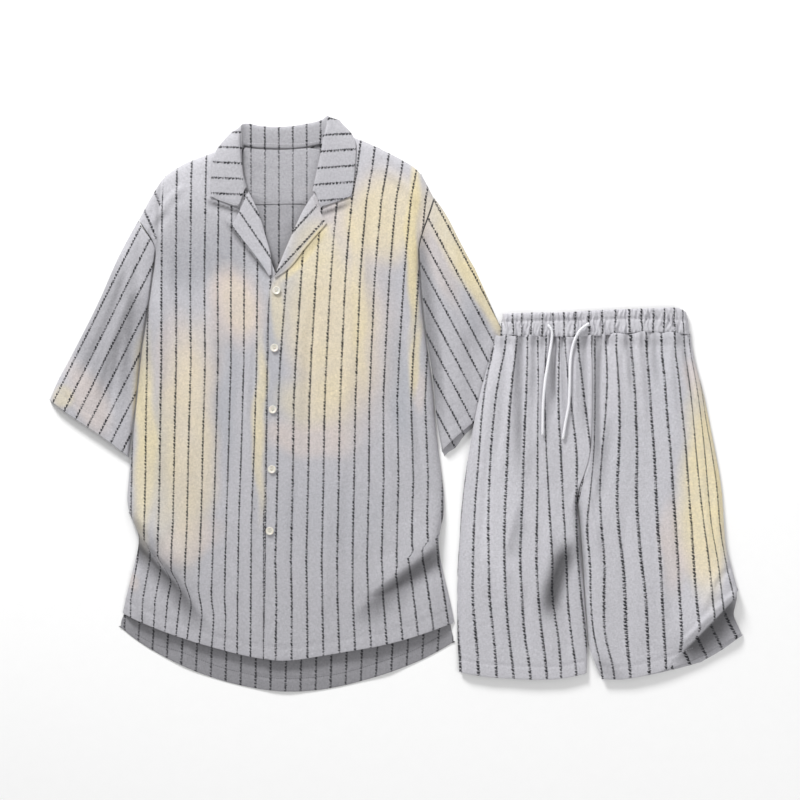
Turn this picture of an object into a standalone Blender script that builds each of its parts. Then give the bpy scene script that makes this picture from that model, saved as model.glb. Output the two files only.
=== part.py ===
"""Striped short-sleeved shirt and drawstring shorts, laid flat side by side.

Both garments lie on their backs on a table whose top is z = 0. The length of each garment runs
along Y, with the neck and the waist at +Y. Left and right are the wearer's, so the left sleeve
is at +X. Tables and sizes are in millimetres, and every mesh is written in metres.
"""
import math
from collections import namedtuple

import bmesh
import bpy
from mathutils import Vector
from mathutils.bvhtree import BVHTree

MM = 0.001

# Cloth and seams
CLOTH = 1.2
SEAM = 0.3
ON_TOP = CLOTH + SEAM
REST = ON_TOP

# Shirt heights above the table
CHEST = 11.5
HEM_PUFF = 8.5
SHOULDER_STRIP = 6.0
SIDE_ROUND = 18.0
SHOULDER_ROUND = 13.0
HEM_RISE = 140.0
STRIP_END = 198.0
STRIP_FADE = 22.0
PLACKET_LIFT = ON_TOP + 0.5
PLACKET_X = -134.0
PLACKET_FADE = 14.0
NECK_DIP = 4.5
NECK_REACH = 70.0
NECK_END = 165.0
NECK_FADE = 60.0

# Sleeve heights
SLEEVE_PUFF = 11.0
SLEEVE_SEAM_HEIGHT = 8.0
SLEEVE_TUCK = 3.4
SLEEVE_PRESSED = 4.1
SLEEVE_ROUND = 14.0
SLEEVE_GAP = 1.0
SLEEVE_SLOPE = 24.0
BACK_INSET = 1.6

# Shorts heights
HIP = 11.0
LEG_HEM = 7.5
WAIST_SEAM = 7.5
LEG_ROUND = 16.0
PARTING_ROUND = 9.0
LIFT = 4.6
LIFT_X = 215.0
LIFT_X_FADE = 30.0
LIFT_Y = -120.0
LIFT_Y_FADE = 64.0
SHORTS_GAP = 0.2
SEAM_STEPS = 17
FOOT_STEPS = 3

# Waistband, buttons and drawstring
BAND_HEIGHT = 12.0
BAND_WIDTH = 252.0
BAND_DEPTH = 32.0
BAND_ROUND = 9.0
BAND_WALL = 1.6
RUFFLES = 40
RUFFLE = 0.9
BUTTON_RADIUS = 5.5
BUTTON_THICK = 2.2
BUTTON_SIDES = 16
CORD_RADIUS = 1.9
CORD_STEP = 8.0
CORD_CLEAR = 0.9

Point = namedtuple("Point", "x y")
Sides = namedtuple("Sides", "y left right")
Hem = namedtuple("Hem", "x front back")
Fold = namedtuple("Fold", "x0 y0 x1 y1 bow height left right")
Section = namedtuple(
    "Section", "seam_x seam_y seam_z roll_x roll_y before_z roll_z after_z edge_x edge_y edge_z")

# Side edges of the shirt's body. Above the underarm they are creases in the front.
BODY = (
    Sides(306, -313.5, 32.4),
    Sides(283, -314.4, 30.8),
    Sides(264, -318.6, 29.0),
    Sides(237, -320.6, 28.2),
    Sides(210, -323.6, 29.3),
    Sides(166, -329.8, 31.7),
    Sides(122, -335.9, 35.1),
    Sides(70, -344.5, 42.2),
    Sides(30, -348.0, 48.2),
    Sides(-20, -353.3, 51.5),
    Sides(-74, -359.3, 58.7),
    Sides(-112, -362.5, 63.4),
    Sides(-142, -364.6, 65.5),
    Sides(-158, -355.7, 63.2),
    Sides(-178, -345.0, 56.6),
    Sides(-204, -351.3, 58.7),
    Sides(-236, -359.3, 65.4),
    Sides(-268, -367.4, 73.6),
)
UNDERARM_ROW = 4

# Curved hems of the shirt, the back one longer
SHIRT_HEMS = (
    Hem(-342, -295.5, -325.9),
    Hem(-290, -315.5, -353.3),
    Hem(-241, -330.2, -372.5),
    Hem(-203, -339.8, -382.0),
    Hem(-177, -344.5, -386.9),
    Hem(-147, -346.8, -389.1),
    Hem(-107, -341.0, -386.9),
    Hem(-66, -334.0, -379.6),
    Hem(-20, -326.0, -366.0),
    Hem(22, -315.0, -351.3),
    Hem(56, -303.0, -334.8),
)
FRONT_HEM_RIGHT = Point(-370.0, -282.4)
FRONT_HEM_LEFT = Point(78.5, -295.1)
BACK_HEM_RIGHT = Point(-374.8, -300.0)
BACK_HEM_LEFT = Point(80.0, -320.6)

# Shoulder lines from the neck to the top of each sleeve
SHOULDER_RIGHT = (
    Point(-213.5, 352),
    Point(-240, 343),
    Point(-259.7, 334.8),
    Point(-278.4, 328.9),
    Point(-296.9, 318.6),
    Point(-314.4, 306.2),
    Point(-325.9, 288.6),
    Point(-338.7, 266.0),
    Point(-347.5, 249.3),
)
SHOULDER_LEFT = (
    Point(-95, 362),
    Point(-75, 364),
    Point(-52.4, 358.8),
    Point(-11.9, 340.3),
    Point(6.6, 330.5),
    Point(26.3, 319.1),
    Point(33.5, 311.4),
    Point(40.8, 297.0),
    Point(50.1, 279.5),
)
ARMHOLE_RIGHT = (Point(-347.5, 249.3), Point(-337, 233.5), Point(-329, 222.5))
ARMHOLE_LEFT = (Point(50.1, 279.5), Point(44.8, 260.8), Point(39.7, 247.3), Point(33.0, 228.0))

# Neck edges of the fronts, just inside the rolled collar and lapels
NECK_RIGHT = (
    Point(-213.2, 340),
    Point(-212, 320),
    Point(-208.5, 302),
    Point(-203.6, 289),
    Point(-192, 264),
    Point(-186, 250),
    Point(-178.5, 225),
    Point(-171.5, 201),
    Point(-166, 187),
    Point(-155, 160),
)
NECK_LEFT = (
    Point(-96.5, 352),
    Point(-97.5, 339),
    Point(-101.8, 315),
    Point(-106.5, 293),
    Point(-115.5, 275),
    Point(-125, 258),
    Point(-137, 230.5),
    Point(-145.5, 211),
    Point(-156, 186),
    Point(-168.3, 168.2),
)
UNDERLAP = (Point(-151, 100), Point(-152, -100), Point(-153, -346.2))
PLACKET_EDGE = (Point(-173.1, 143.6), Point(-175.4, 86.7), Point(-178, -100), Point(-180.2, -344.3))
BACK_NECK = (Point(-208.8, 348.4), Point(-182.7, 347.2), Point(-148.2, 346.5),
             Point(-127.6, 348.7), Point(-98.0, 355.5))

# Sleeves
CUFF_RIGHT = (
    Point(-468.2, 5.8),
    Point(-446.6, -11.6),
    Point(-430.5, -22.3),
    Point(-398.5, -43.6),
    Point(-379.9, -57.0),
    Point(-361.2, -72.0),
)
CUFF_LEFT = (
    Point(178.9, 35.6),
    Point(140, 4.5),
    Point(104.2, -25.1),
    Point(75.2, -49.4),
    Point(61.5, -63.5),
)
CUFF_LEFT_UNDER = (
    Point(178.9, 35.6),
    Point(142, -2.0),
    Point(104.2, -35.6),
    Point(80.0, -58.0),
    Point(62.8, -72.0),
)
SLEEVE_EDGE_RIGHT = (
    Point(-374.5, 202.0),
    Point(-401.2, 140.5),
    Point(-428.0, 87.2),
    Point(-449.3, 47.1),
    Point(-461.3, 25.8),
)
SLEEVE_EDGE_LEFT = (
    Point(62.4, 267.0),
    Point(81.0, 229.8),
    Point(114.2, 166.7),
    Point(137.4, 113.3),
    Point(165.0, 62.0),
)

# Lapels: top edge from the tip over the notch to the gorge, outer edge from the tip down, and
# roll line from the gorge down
LAPEL_RIGHT_TOP = (Point(-223.4, 239.4), Point(-211.4, 260.0), Point(-199.3, 287.5))
LAPEL_RIGHT_EDGE = (Point(-223.4, 239.4), Point(-200, 212.3), Point(-177.5, 182.5),
                    Point(-171.5, 172.0))
LAPEL_RIGHT_ROLL = (Point(-199.3, 287.5), Point(-188.2, 265.1), Point(-182.7, 251.4),
                    Point(-175.8, 225.2), Point(-168.9, 201.8), Point(-167.5, 173.5))
LAPEL_LEFT_TOP = (Point(-93.2, 243.0), Point(-102.8, 260.0), Point(-113.4, 281.5))
LAPEL_LEFT_EDGE = (Point(-93.2, 243.0), Point(-119.2, 214.2), Point(-144, 182.5),
                   Point(-162.5, 170.0))
LAPEL_LEFT_ROLL = (Point(-113.4, 281.5), Point(-127.6, 258.3), Point(-139.9, 230.7),
                   Point(-148.2, 211.4), Point(-158.6, 186.0), Point(-164.5, 171.5))
LAPEL_CROWN = 1.6
LAPEL_CLEAR = 0.6
LAPEL_ROUND = 5.0

# Collar, a section for each place round the neck, from the right gorge to the left one
COLLAR = (
    Section(-199.6, 290.5, 7.6, -200.6, 291.5, 9.2, 10.6, 12.3, -250.8, 277.8, 12.0),
    Section(-204.3, 303.0, 7.6, -205.3, 304.0, 9.2, 10.6, 12.4, -249.8, 299.0, 13.0),
    Section(-207.3, 320.0, 7.6, -208.3, 321.0, 9.2, 10.6, 12.5, -248.8, 320.0, 12.0),
    Section(-208.4, 334.0, 7.2, -209.8, 337.0, 9.0, 10.6, 12.5, -245.6, 339.5, 9.5),
    Section(-208.0, 341.0, 6.2, -210.4, 351.0, 8.0, 10.2, 12.0, -238.5, 349.5, 6.0),
    Section(-207.0, 345.0, 4.8, -210.6, 364.0, 7.2, 9.0, 10.2, -228.0, 362.0, 3.4),
    Section(-204.0, 346.4, 3.6, -208.8, 377.0, 8.6, 7.4, 5.0, -217.0, 370.0, 1.4),
    Section(-199.0, 345.2, 3.2, -199.5, 379.6, 8.4, 5.0, 1.2, -200.5, 362.0, 0.0),
    Section(-182.7, 343.4, 3.0, -183.0, 376.3, 7.6, 3.9, 0.1, -183.5, 358.0, 0.0),
    Section(-163.0, 342.8, 3.0, -163.4, 374.8, 7.4, 3.7, 0.0, -163.8, 357.0, 0.0),
    Section(-141.3, 343.2, 3.0, -141.3, 376.1, 7.4, 3.7, 0.0, -141.5, 357.5, 0.0),
    Section(-120.7, 345.6, 3.0, -119.5, 379.7, 7.6, 3.9, 0.1, -121.0, 361.0, 0.0),
    Section(-106.0, 348.8, 3.2, -101.0, 384.1, 8.4, 5.0, 1.2, -104.0, 366.0, 0.0),
    Section(-101.6, 350.6, 3.6, -92.6, 389.6, 8.6, 7.4, 5.0, -81.6, 384.6, 1.4),
    Section(-99.4, 349.6, 4.8, -94.3, 375.5, 7.2, 9.0, 10.2, -71.0, 376.8, 3.4),
    Section(-99.8, 346.0, 6.0, -97.6, 363.0, 8.0, 10.2, 12.0, -60.4, 365.9, 6.0),
    Section(-101.6, 341.0, 7.0, -100.3, 350.0, 9.0, 10.6, 12.5, -53.2, 353.5, 9.5),
    Section(-103.8, 332.0, 7.6, -102.7, 335.0, 9.2, 10.6, 12.5, -54.5, 330.0, 12.0),
    Section(-108.2, 313.0, 7.6, -107.2, 314.0, 9.2, 10.6, 12.4, -56.5, 305.0, 13.0),
    Section(-114.0, 285.0, 7.6, -113.0, 286.0, 9.2, 10.6, 12.3, -59.3, 277.8, 12.0),
)
NOTCH_RIGHT = Point(-211.5, 263.4)
NOTCH_LEFT = Point(-102.9, 263.4)
COLLAR_TURN = 3.6
COLLAR_CLEAR = 0.5
COLLAR_STOPS = (0.5, 1.0)
COLLAR_CORNERS = (4, 5, 6, 7, 11, 12, 13, 14)
CORNER_STEPS = 3

# Large folds of the shirt's fronts. A fold runs from its first to its second point, and its
# left and right reach are measured to each side of that direction.
SHIRT_FOLDS = (
    Fold(-392, -118, -268, -262, -10, 9.5, 62, 11),
    Fold(92, -150, 0, -214, -6, 8.0, 12, 58),
    Fold(-352, -176, -262, -252, 0, -3.6, 4, 46),
    Fold(74, -190, -14, -246, 0, -3.4, 48, 4),
    Fold(-262, -214, -226, -332, 8, 3.6, 16, 26),
    Fold(-40, -216, -74, -330, -8, -2.6, 22, 26),
    Fold(-250, 230, -238, -60, 6, 3.2, 30, 26),
    Fold(-292, 190, -300, -110, -8, -2.8, 24, 22),
    Fold(-206, 150, -214, -190, 5, -2.4, 20, 24),
    Fold(-62, 250, -48, -40, -6, 3.0, 28, 26),
    Fold(-104, 120, -112, -250, 6, -2.2, 24, 20),
    Fold(-6, 240, 8, -60, -8, -2.8, 20, 26),
    Fold(18, 60, 26, -150, 4, 2.8, 18, 20),
    Fold(-332, 60, -330, -140, 6, 3.0, 16, 18),
    Fold(-236, 268, -296, 214, 6, -2.6, 22, 16),
    Fold(-84, 262, 4, 224, -6, -2.4, 18, 22),
)

# Hem ripples of the shirt's back, seen below the front
BACK_FOLDS = (
    Fold(-192, -330, -120, -410, 0, 3.4, 22, 30),
    Fold(-300, -310, -286, -400, 0, 2.2, 24, 24),
    Fold(-30, -300, -6, -400, 0, 2.4, 26, 22),
)

# Sleeve folds, from the underarm towards the cuff
SLEEVE_FOLDS = (
    Fold(-338, 190, -432, -8, -8, 2.6, 14, 16),
    Fold(-352, 140, -398, -24, -6, -2.4, 12, 14),
    Fold(-372, 176, -452, 20, 6, -2.2, 14, 12),
    Fold(42, 222, 132, 30, 8, 2.6, 14, 16),
    Fold(46, 150, 90, -20, 6, -2.4, 14, 12),
    Fold(74, 214, 116, 120, -6, -2.0, 12, 14),
)

# Side outlines of the shorts
LEGS = (
    Sides(90.5, 133.6, 396.9),
    Sides(61, 124.9, 401.5),
    Sides(22, 113.8, 413.0),
    Sides(-22, 104.2, 422.0),
    Sides(-80, 94.5, 433.7),
    Sides(-121, 89.0, 439.8),
    Sides(-185, 84.9, 443.9),
    Sides(-223, 82.3, 452.7),
    Sides(-251, 81.8, 461.6),
    Sides(-267, 81.6, 459.8),
    Sides(-283, 81.6, 453.5),
    Sides(-306, 81.9, 466.5),
)
WAIST_SEAM_LINE = (
    Point(133.6, 90.5),
    Point(168.8, 90.6),
    Point(222.5, 89.6),
    Point(262.8, 90.6),
    Point(300.9, 93.2),
    Point(342.2, 95.2),
    Point(396.9, 92.6),
)
CENTRE_SEAM = (Point(263.2, 90.6), Point(262.6, -52), Point(255.8, -88.6), Point(242.3, -120.0))
INNER_LEG = (
    Point(246.1, -148.9),
    Point(248.8, -190.2),
    Point(251.6, -226.0),
    Point(254.3, -267.3),
    Point(257.2, -304.0),
    Point(258.0, -324.0),
)
RIGHT_LEG_HEM = (
    Point(84.1, -361.0),
    Point(113.8, -366.5),
    Point(155.1, -369.9),
    Point(202.0, -371.3),
    Point(229.5, -368.8),
    Point(256.6, -362.5),
)
LEFT_LEG_FRONT_HEM = (
    Point(277.0, -370.0),
    Point(298.5, -371.5),
    Point(323.2, -368.4),
    Point(345.2, -363.2),
    Point(375.6, -354.0),
    Point(405.9, -343.5),
    Point(428.0, -330.5),
    Point(450.0, -317.5),
    Point(465.5, -309.0),
)
LEFT_LEG_BACK_HEM = (
    Point(277.0, -370.8),
    Point(298.5, -372.3),
    Point(323.2, -370.0),
    Point(345.2, -366.6),
    Point(375.6, -359.4),
    Point(405.9, -350.0),
    Point(428.0, -339.5),
    Point(450.0, -326.0),
    Point(468.2, -311.0),
)
LEFT_LEG_PARTING_END = Point(268.1, -350.1)

SHORTS_FOLDS = (
    Fold(173, 120, 178, -214, -6, -3.4, 14, 15),
    Fold(150, 112, 140, -160, 5, 2.8, 17, 16),
    Fold(214, 112, 214, -20, 3, -3.2, 11, 12),
    Fold(196, 104, 199, -150, 3, 2.6, 15, 14),
    Fold(247, 110, 246, -62, -6, -3.2, 10, 12),
    Fold(286, 114, 276, -200, 8, -4.0, 15, 13),
    Fold(308, 112, 322, -150, 6, 3.2, 18, 18),
    Fold(346, 114, 352, -60, 4, -3.0, 14, 16),
    Fold(372, 112, 398, -120, 6, 3.0, 17, 18),
    Fold(410, 40, 424, -190, -6, -2.8, 12, 14),
    Fold(162, -150, 178, -214, 4, -3.4, 13, 13),
    Fold(208, -224, 232, -258, 3, -3.0, 10, 10),
    Fold(120, -60, 112, -300, -6, 2.8, 20, 20),
    Fold(316, -150, 336, -350, -8, 3.0, 22, 24),
    Fold(392, -130, 402, -300, 6, -3.0, 18, 16),
    Fold(486, -236, 366, -344, 6, 9.0, 9, 52),
    Fold(470, -268, 372, -356, 0, -2.6, 30, 5),
    Fold(262, -98, 282, -210, 6, 3.4, 10, 16),
)

# Waistband outline
BAND_TOP = (
    Point(142.5, 122.0),
    Point(180.0, 123.6),
    Point(224.8, 124.2),
    Point(260.6, 126.4),
    Point(301.7, 128.1),
    Point(350.0, 129.6),
    Point(378.0, 130.1),
    Point(391.0, 124.2),
)
BAND_BOTTOM = (
    Point(138.6, 92.5),
    Point(168.8, 91.5),
    Point(222.5, 90.5),
    Point(262.8, 91.5),
    Point(300.9, 94.2),
    Point(342.2, 96.4),
    Point(396.4, 94.0),
)
BAND_ROWS = (0.0, 0.1, 0.34, 0.9, 1.0)
CHANNEL_ROW = 2
CHANNEL_DIP = 1.4

BUTTONS = (
    Point(-161.2, 153.0),
    Point(-164.0, 75.9),
    Point(-166.2, -6.9),
    Point(-167.4, -87.2),
    Point(-170.2, -170.0),
)

CORD_RIGHT = (
    Point(203.3, 107.1),
    Point(208.3, 99.4),
    Point(208.6, 88.3),
    Point(204.8, 63.6),
    Point(199.3, 30.5),
    Point(196.6, 0.1),
    Point(196.2, -21.9),
    Point(195.9, -41.2),
)
CORD_LEFT = (
    Point(258.5, 108.9),
    Point(246.5, 99.4),
    Point(238.2, 82.8),
    Point(233.7, 58.1),
    Point(232.5, 22.1),
    Point(231.4, 0.1),
    Point(227.4, -21.9),
    Point(223.4, -46.7),
)

Finish = namedtuple("Finish", "red green blue roughness")
FINISHES = {
    "shirt_cloth": Finish(0.50, 0.50, 0.53, 0.85),
    "shorts_cloth": Finish(0.55, 0.55, 0.58, 0.85),
    "button_shell": Finish(0.86, 0.84, 0.78, 0.35),
    "cord_cotton": Finish(0.87, 0.87, 0.88, 0.9),
}


def soften(value):
    """Ease from 0 to 1 as value goes from 0 to 1."""
    t = min(max(value, 0.0), 1.0)
    return t * t * (3.0 - 2.0 * t)


def rim(distance, width):
    """Quarter-ellipse from 0 at an edge to 1 at width inside it."""
    t = 1.0 - min(max(distance / width, 0.0), 1.0)
    return math.sqrt(1.0 - t * t)


def between(value, rows, key, result):
    """Straight-line reading of a table, rows in falling or rising order of key."""
    ordered = sorted(rows, key=lambda row: getattr(row, key))
    if value <= getattr(ordered[0], key):
        return getattr(ordered[0], result)
    for low, high in zip(ordered, ordered[1:]):
        a, b = getattr(low, key), getattr(high, key)
        if value <= b:
            share = (value - a) / (b - a)
            return getattr(low, result) * (1.0 - share) + getattr(high, result) * share
    return getattr(ordered[-1], result)


def route(points):
    """Smooth curve through the points, as a function of the share of its length."""
    stops = [Vector(point) for point in points]
    knots = [0.0]
    for a, b in zip(stops, stops[1:]):
        knots.append(knots[-1] + (b - a).length)
    slopes = []
    for i in range(len(stops)):
        before, after = max(i - 1, 0), min(i + 1, len(stops) - 1)
        slopes.append((stops[after] - stops[before]) / (knots[after] - knots[before]))

    def at(share):
        run = share * knots[-1]
        i = 0
        while i < len(knots) - 2 and run > knots[i + 1]:
            i += 1
        span = knots[i + 1] - knots[i]
        t = (run - knots[i]) / span
        return (stops[i] * (2 * t ** 3 - 3 * t ** 2 + 1) + slopes[i] * (t ** 3 - 2 * t ** 2 + t) * span
                + stops[i + 1] * (3 * t ** 2 - 2 * t ** 3) + slopes[i + 1] * (t ** 3 - t ** 2) * span)

    return at


def patch(left, right, top, bottom):
    """Surface spanned by four edge curves that meet at its corners, as a function of u and v."""
    l_edge, r_edge, t_edge, b_edge = (route(edge) for edge in (left, right, top, bottom))

    def at(u, v):
        across = l_edge(v) * (1 - u) + r_edge(v) * u
        along = t_edge(u) * (1 - v) + b_edge(u) * v
        corners = (l_edge(0) * (1 - v) + l_edge(1) * v) * (1 - u)
        corners += (r_edge(0) * (1 - v) + r_edge(1) * v) * u
        return across + along - corners

    return at


def fold_height(folds, x, y):
    """Sum of the folds of a table at x, y."""
    total = 0.0
    for fold in folds:
        run_x, run_y = fold.x1 - fold.x0, fold.y1 - fold.y0
        length = math.hypot(run_x, run_y)
        along = ((x - fold.x0) * run_x + (y - fold.y0) * run_y) / length ** 2
        if not 0.0 < along < 1.0:
            continue
        across = ((x - fold.x0) * run_y - (y - fold.y0) * run_x) / length
        across -= fold.bow * 4.0 * along * (1.0 - along)
        reach = fold.right if across > 0.0 else fold.left
        if abs(across) < reach:
            taper = soften(along / 0.35) * soften((1.0 - along) / 0.35)
            total += fold.height * taper * math.cos(0.5 * math.pi * across / reach) ** 2
    return total


def shirt_height(x, y):
    """Height of the fronts' outer face above the table."""
    inside = min(x - between(y, BODY, "y", "left"), between(y, BODY, "y", "right") - x)
    shoulder = SHOULDER_RIGHT if x < -154.0 else SHOULDER_LEFT
    below = 0.85 * (between(x, shoulder, "x", "y") - y)
    above_arm = soften((y - STRIP_END) / STRIP_FADE)
    strip = SHOULDER_STRIP * rim(below, SHOULDER_ROUND)
    strip *= above_arm + (1.0 - above_arm) * rim(inside, SIDE_ROUND)
    hem = between(x, SHIRT_HEMS, "x", "front")
    puff = CHEST - (CHEST - HEM_PUFF) * soften(1.0 - (y - hem) / HEM_RISE)
    round_side = rim(inside, SIDE_ROUND) * soften(below / 50.0)
    chest = (puff - SHOULDER_STRIP - neck_dip(x, y)) * round_side
    return REST + strip + chest + fold_height(SHIRT_FOLDS, x, y) * round_side


def neck_dip(x, y):
    """How much lower the fronts lie beside the open neck."""
    from_right = between(y, NECK_RIGHT, "y", "x") - x
    from_left = x - between(y, NECK_LEFT, "y", "x")
    away = max(from_right, from_left)
    return NECK_DIP * (1.0 - soften(away / NECK_REACH)) * soften((y - NECK_END) / NECK_FADE)


def placket_lift(x):
    """How much higher the left front lies where it covers the right one."""
    return PLACKET_LIFT * soften((PLACKET_X - x) / PLACKET_FADE)


def shorts_lift(x, y):
    """Height of the table or sleeve that the shorts lie on."""
    return LIFT * soften((LIFT_X - x) / LIFT_X_FADE) * soften((y - LIFT_Y) / LIFT_Y_FADE)


def leg_parting(y):
    """X of the line that parts the legs, or of the centre seam above it."""
    return between(y, CENTRE_SEAM + INNER_LEG, "y", "x")


def shorts_height(x, y):
    """Height of the shorts' front above the table."""
    inside = min(x - between(y, LEGS, "y", "left"), between(y, LEGS, "y", "right") - x)
    to_waist = between(x, WAIST_SEAM_LINE, "x", "y") - y
    puff = WAIST_SEAM + (HIP - WAIST_SEAM) * soften(to_waist / 60.0)
    puff -= (HIP - LEG_HEM) * soften((-230.0 - y) / 120.0)
    round_side = rim(inside, LEG_ROUND)
    parted = soften((-104.0 - y) / 26.0)
    gap = abs(x - leg_parting(y)) - SEAM
    round_leg = 1.0 - parted * (1.0 - rim(gap, PARTING_ROUND))
    height = (puff + fold_height(SHORTS_FOLDS, x, y)) * round_side * round_leg
    return REST + shorts_lift(x, y) + height


def panel_grid(place, columns, rows, height):
    """Grid of points on a panel's outer face."""
    grid = []
    for v in rows:
        line = []
        for u in columns:
            spot = place(u, v)
            line.append(Vector((spot.x, spot.y, height(spot.x, spot.y))))
        grid.append(line)
    return grid


def shares(count, round_in=(), round_out=()):
    """Evenly spaced shares from 0 to 1, with extra ones where an edge rounds off."""
    inner = [i / count for i in range(1, count)]
    return [0.0] + list(round_in) + inner + [1.0 - share for share in reversed(round_out)] + [1.0]


def grid_normal(grid, row, column):
    """Direction of the outer face at one point of a grid."""
    last_row, last_column = len(grid) - 1, len(grid[0]) - 1
    across = grid[row][min(column + 1, last_column)] - grid[row][max(column - 1, 0)]
    along = grid[max(row - 1, 0)][column] - grid[min(row + 1, last_row)][column]
    return across.cross(along).normalized()


def add_object(name, points, faces, finish, smooth=True):
    """Make an object from millimetre points, facing outwards."""
    mesh = bpy.data.meshes.new(name)
    mesh.from_pydata([point * MM for point in points], [], faces)
    shell = bmesh.new()
    shell.from_mesh(mesh)
    bmesh.ops.recalc_face_normals(shell, faces=shell.faces)
    shell.to_mesh(mesh)
    shell.free()
    mesh.materials.append(make_material(finish))
    if smooth:
        mesh.shade_smooth()
    piece = bpy.data.objects.new(name, mesh)
    bpy.context.scene.collection.objects.link(piece)
    return piece


def make_material(finish):
    """Principled material of one finish, made once."""
    if finish in bpy.data.materials:
        return bpy.data.materials[finish]
    look = FINISHES[finish]
    material = bpy.data.materials.new(finish)
    material.use_nodes = True
    shader = material.node_tree.nodes["Principled BSDF"]
    shader.inputs["Base Color"].default_value = (look.red, look.green, look.blue, 1.0)
    shader.inputs["Roughness"].default_value = look.roughness
    shader.inputs["Metallic"].default_value = 0.0
    return material


def wall(name, grid, finish, rest=None, upright=False):
    """Closed cloth wall below a grid of points on its outer face, no lower than rest(x, y)."""
    rows, columns = len(grid), len(grid[0])
    outer = [point for line in grid for point in line]
    inner = []
    for row in range(rows):
        for column in range(columns):
            normal = Vector((0.0, 0.0, 1.0)) if upright else grid_normal(grid, row, column)
            point = grid[row][column] - normal * CLOTH
            if rest is not None:
                point.z = max(point.z, rest(point.x, point.y))
            inner.append(point)
    count = rows * columns
    faces = []
    for row in range(rows - 1):
        for column in range(columns - 1):
            a = row * columns + column
            b = a + columns
            faces.append((a, b, b + 1, a + 1))
            faces.append((a + count, a + 1 + count, b + 1 + count, b + count))
    border = list(range(columns))
    border += [row * columns + columns - 1 for row in range(1, rows)]
    border += [(rows - 1) * columns + column for column in range(columns - 2, -1, -1)]
    border += [row * columns for row in range(rows - 2, 0, -1)]
    for a, b in zip(border, border[1:] + border[:1]):
        faces.append((a, b, b + count, a + count))
    return add_object(name, outer + inner, faces, finish)


def tube(name, upper, under, columns, rows, roof, inner_roof, floor, finish, thickness=CLOTH):
    """Flattened tube: a rounded upper wall and an under wall that lies flat."""
    outer_rings, inner_rings = [], []
    last = len(columns) - 1
    for v in rows:
        width = (upper(1.0, v) - upper(0.0, v)).length
        inset = thickness / width
        ring, inside = [], []
        for index, u in enumerate(columns):
            spot = upper(u, v)
            base = floor(spot.x, spot.y)
            rise = 0.0 if index in (0, last) else roof(spot.x, spot.y, u, v)
            ring.append(Vector((spot.x, spot.y, base + rise)))
            inner_u = inset + u * (1.0 - 2.0 * inset)
            spot = upper(inner_u, v)
            base = floor(spot.x, spot.y) + thickness
            rise = max(inner_roof(spot.x, spot.y, inner_u, v) - 2.0 * thickness, 0.25)
            rise = 0.12 if index in (0, last) else rise
            inside.append(Vector((spot.x, spot.y, base + rise)))
        for u in reversed(columns[1:-1]):
            spot = under(u, v)
            ring.append(Vector((spot.x, spot.y, floor(spot.x, spot.y))))
            spot = under(inset + u * (1.0 - 2.0 * inset), v)
            inside.append(Vector((spot.x, spot.y, floor(spot.x, spot.y) + thickness)))
        outer_rings.append(ring)
        inner_rings.append(inside)
    size = len(outer_rings[0])
    points = [point for ring in outer_rings + inner_rings for point in ring]
    shift = size * len(rows)
    faces = []
    for row in range(len(rows) - 1):
        for i in range(size):
            j = (i + 1) % size
            a, b = row * size + i, row * size + j
            faces.append((a, a + size, b + size, b))
            faces.append((a + shift, b + shift, b + size + shift, a + size + shift))
    end = (len(rows) - 1) * size
    for i in range(size):
        j = (i + 1) % size
        faces.append((i, j, j + shift, i + shift))
        faces.append((end + j, end + i, end + i + shift, end + j + shift))
    return add_object(name, points, faces, finish)


def surface(grids):
    """Function that gives the height of the highest of some grids at x, y, or None."""
    trees = []
    for grid in grids:
        columns = len(grid[0])
        points = [point for line in grid for point in line]
        quads = []
        for row in range(len(grid) - 1):
            for column in range(columns - 1):
                a = row * columns + column
                quads.append((a, a + columns, a + columns + 1, a + 1))
        trees.append(BVHTree.FromPolygons(points, quads))

    def at(x, y):
        best = None
        for tree in trees:
            hit = tree.ray_cast(Vector((x, y, 500.0)), Vector((0.0, 0.0, -1.0)))[0]
            if hit is not None and (best is None or hit.z > best):
                best = hit.z
        return best

    return at


def offset_line(points, shift):
    """Points moved along X, for the next piece's side of a seam."""
    return [Point(point.x + shift, point.y) for point in points]


def body_edge(side, shift=0.0, first=UNDERARM_ROW):
    """Side edge of the shirt's body from the underarm down."""
    return [Point(getattr(row, side) + shift, row.y) for row in BODY[first:]]


def hem_line(rows, key, low, high):
    """Points of a hem between two X values."""
    return [Point(row.x, getattr(row, key)) for row in rows if low < row.x < high]


def front_right_patch():
    left = ARMHOLE_RIGHT + tuple(body_edge("left")) + (FRONT_HEM_RIGHT,)
    right = (SHOULDER_RIGHT[0],) + NECK_RIGHT + UNDERLAP
    top = tuple(reversed(SHOULDER_RIGHT))
    bottom = (FRONT_HEM_RIGHT,) + tuple(hem_line(SHIRT_HEMS, "front", -369, -160)) + (UNDERLAP[-1],)
    return patch(left, right, top, bottom)


def front_left_patch():
    left = (SHOULDER_LEFT[0],) + NECK_LEFT + PLACKET_EDGE
    right = ARMHOLE_LEFT + tuple(body_edge("right")) + (FRONT_HEM_LEFT,)
    bottom = (PLACKET_EDGE[-1],) + tuple(hem_line(SHIRT_HEMS, "front", -176, 78)) + (FRONT_HEM_LEFT,)
    return patch(left, right, SHOULDER_LEFT, bottom)


def back_patch():
    left = offset_line(ARMHOLE_RIGHT, BACK_INSET) + body_edge("left", BACK_INSET) + [BACK_HEM_RIGHT]
    right = offset_line(ARMHOLE_LEFT, -BACK_INSET) + body_edge("right", -BACK_INSET) + [BACK_HEM_LEFT]
    top = [left[0]] + list(reversed(SHOULDER_RIGHT[:-1])) + list(BACK_NECK)
    top += list(SHOULDER_LEFT[:-1]) + [right[0]]
    bottom = [BACK_HEM_RIGHT] + hem_line(SHIRT_HEMS, "back", -374, 79) + [BACK_HEM_LEFT]
    return patch(left, right, top, bottom)


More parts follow.
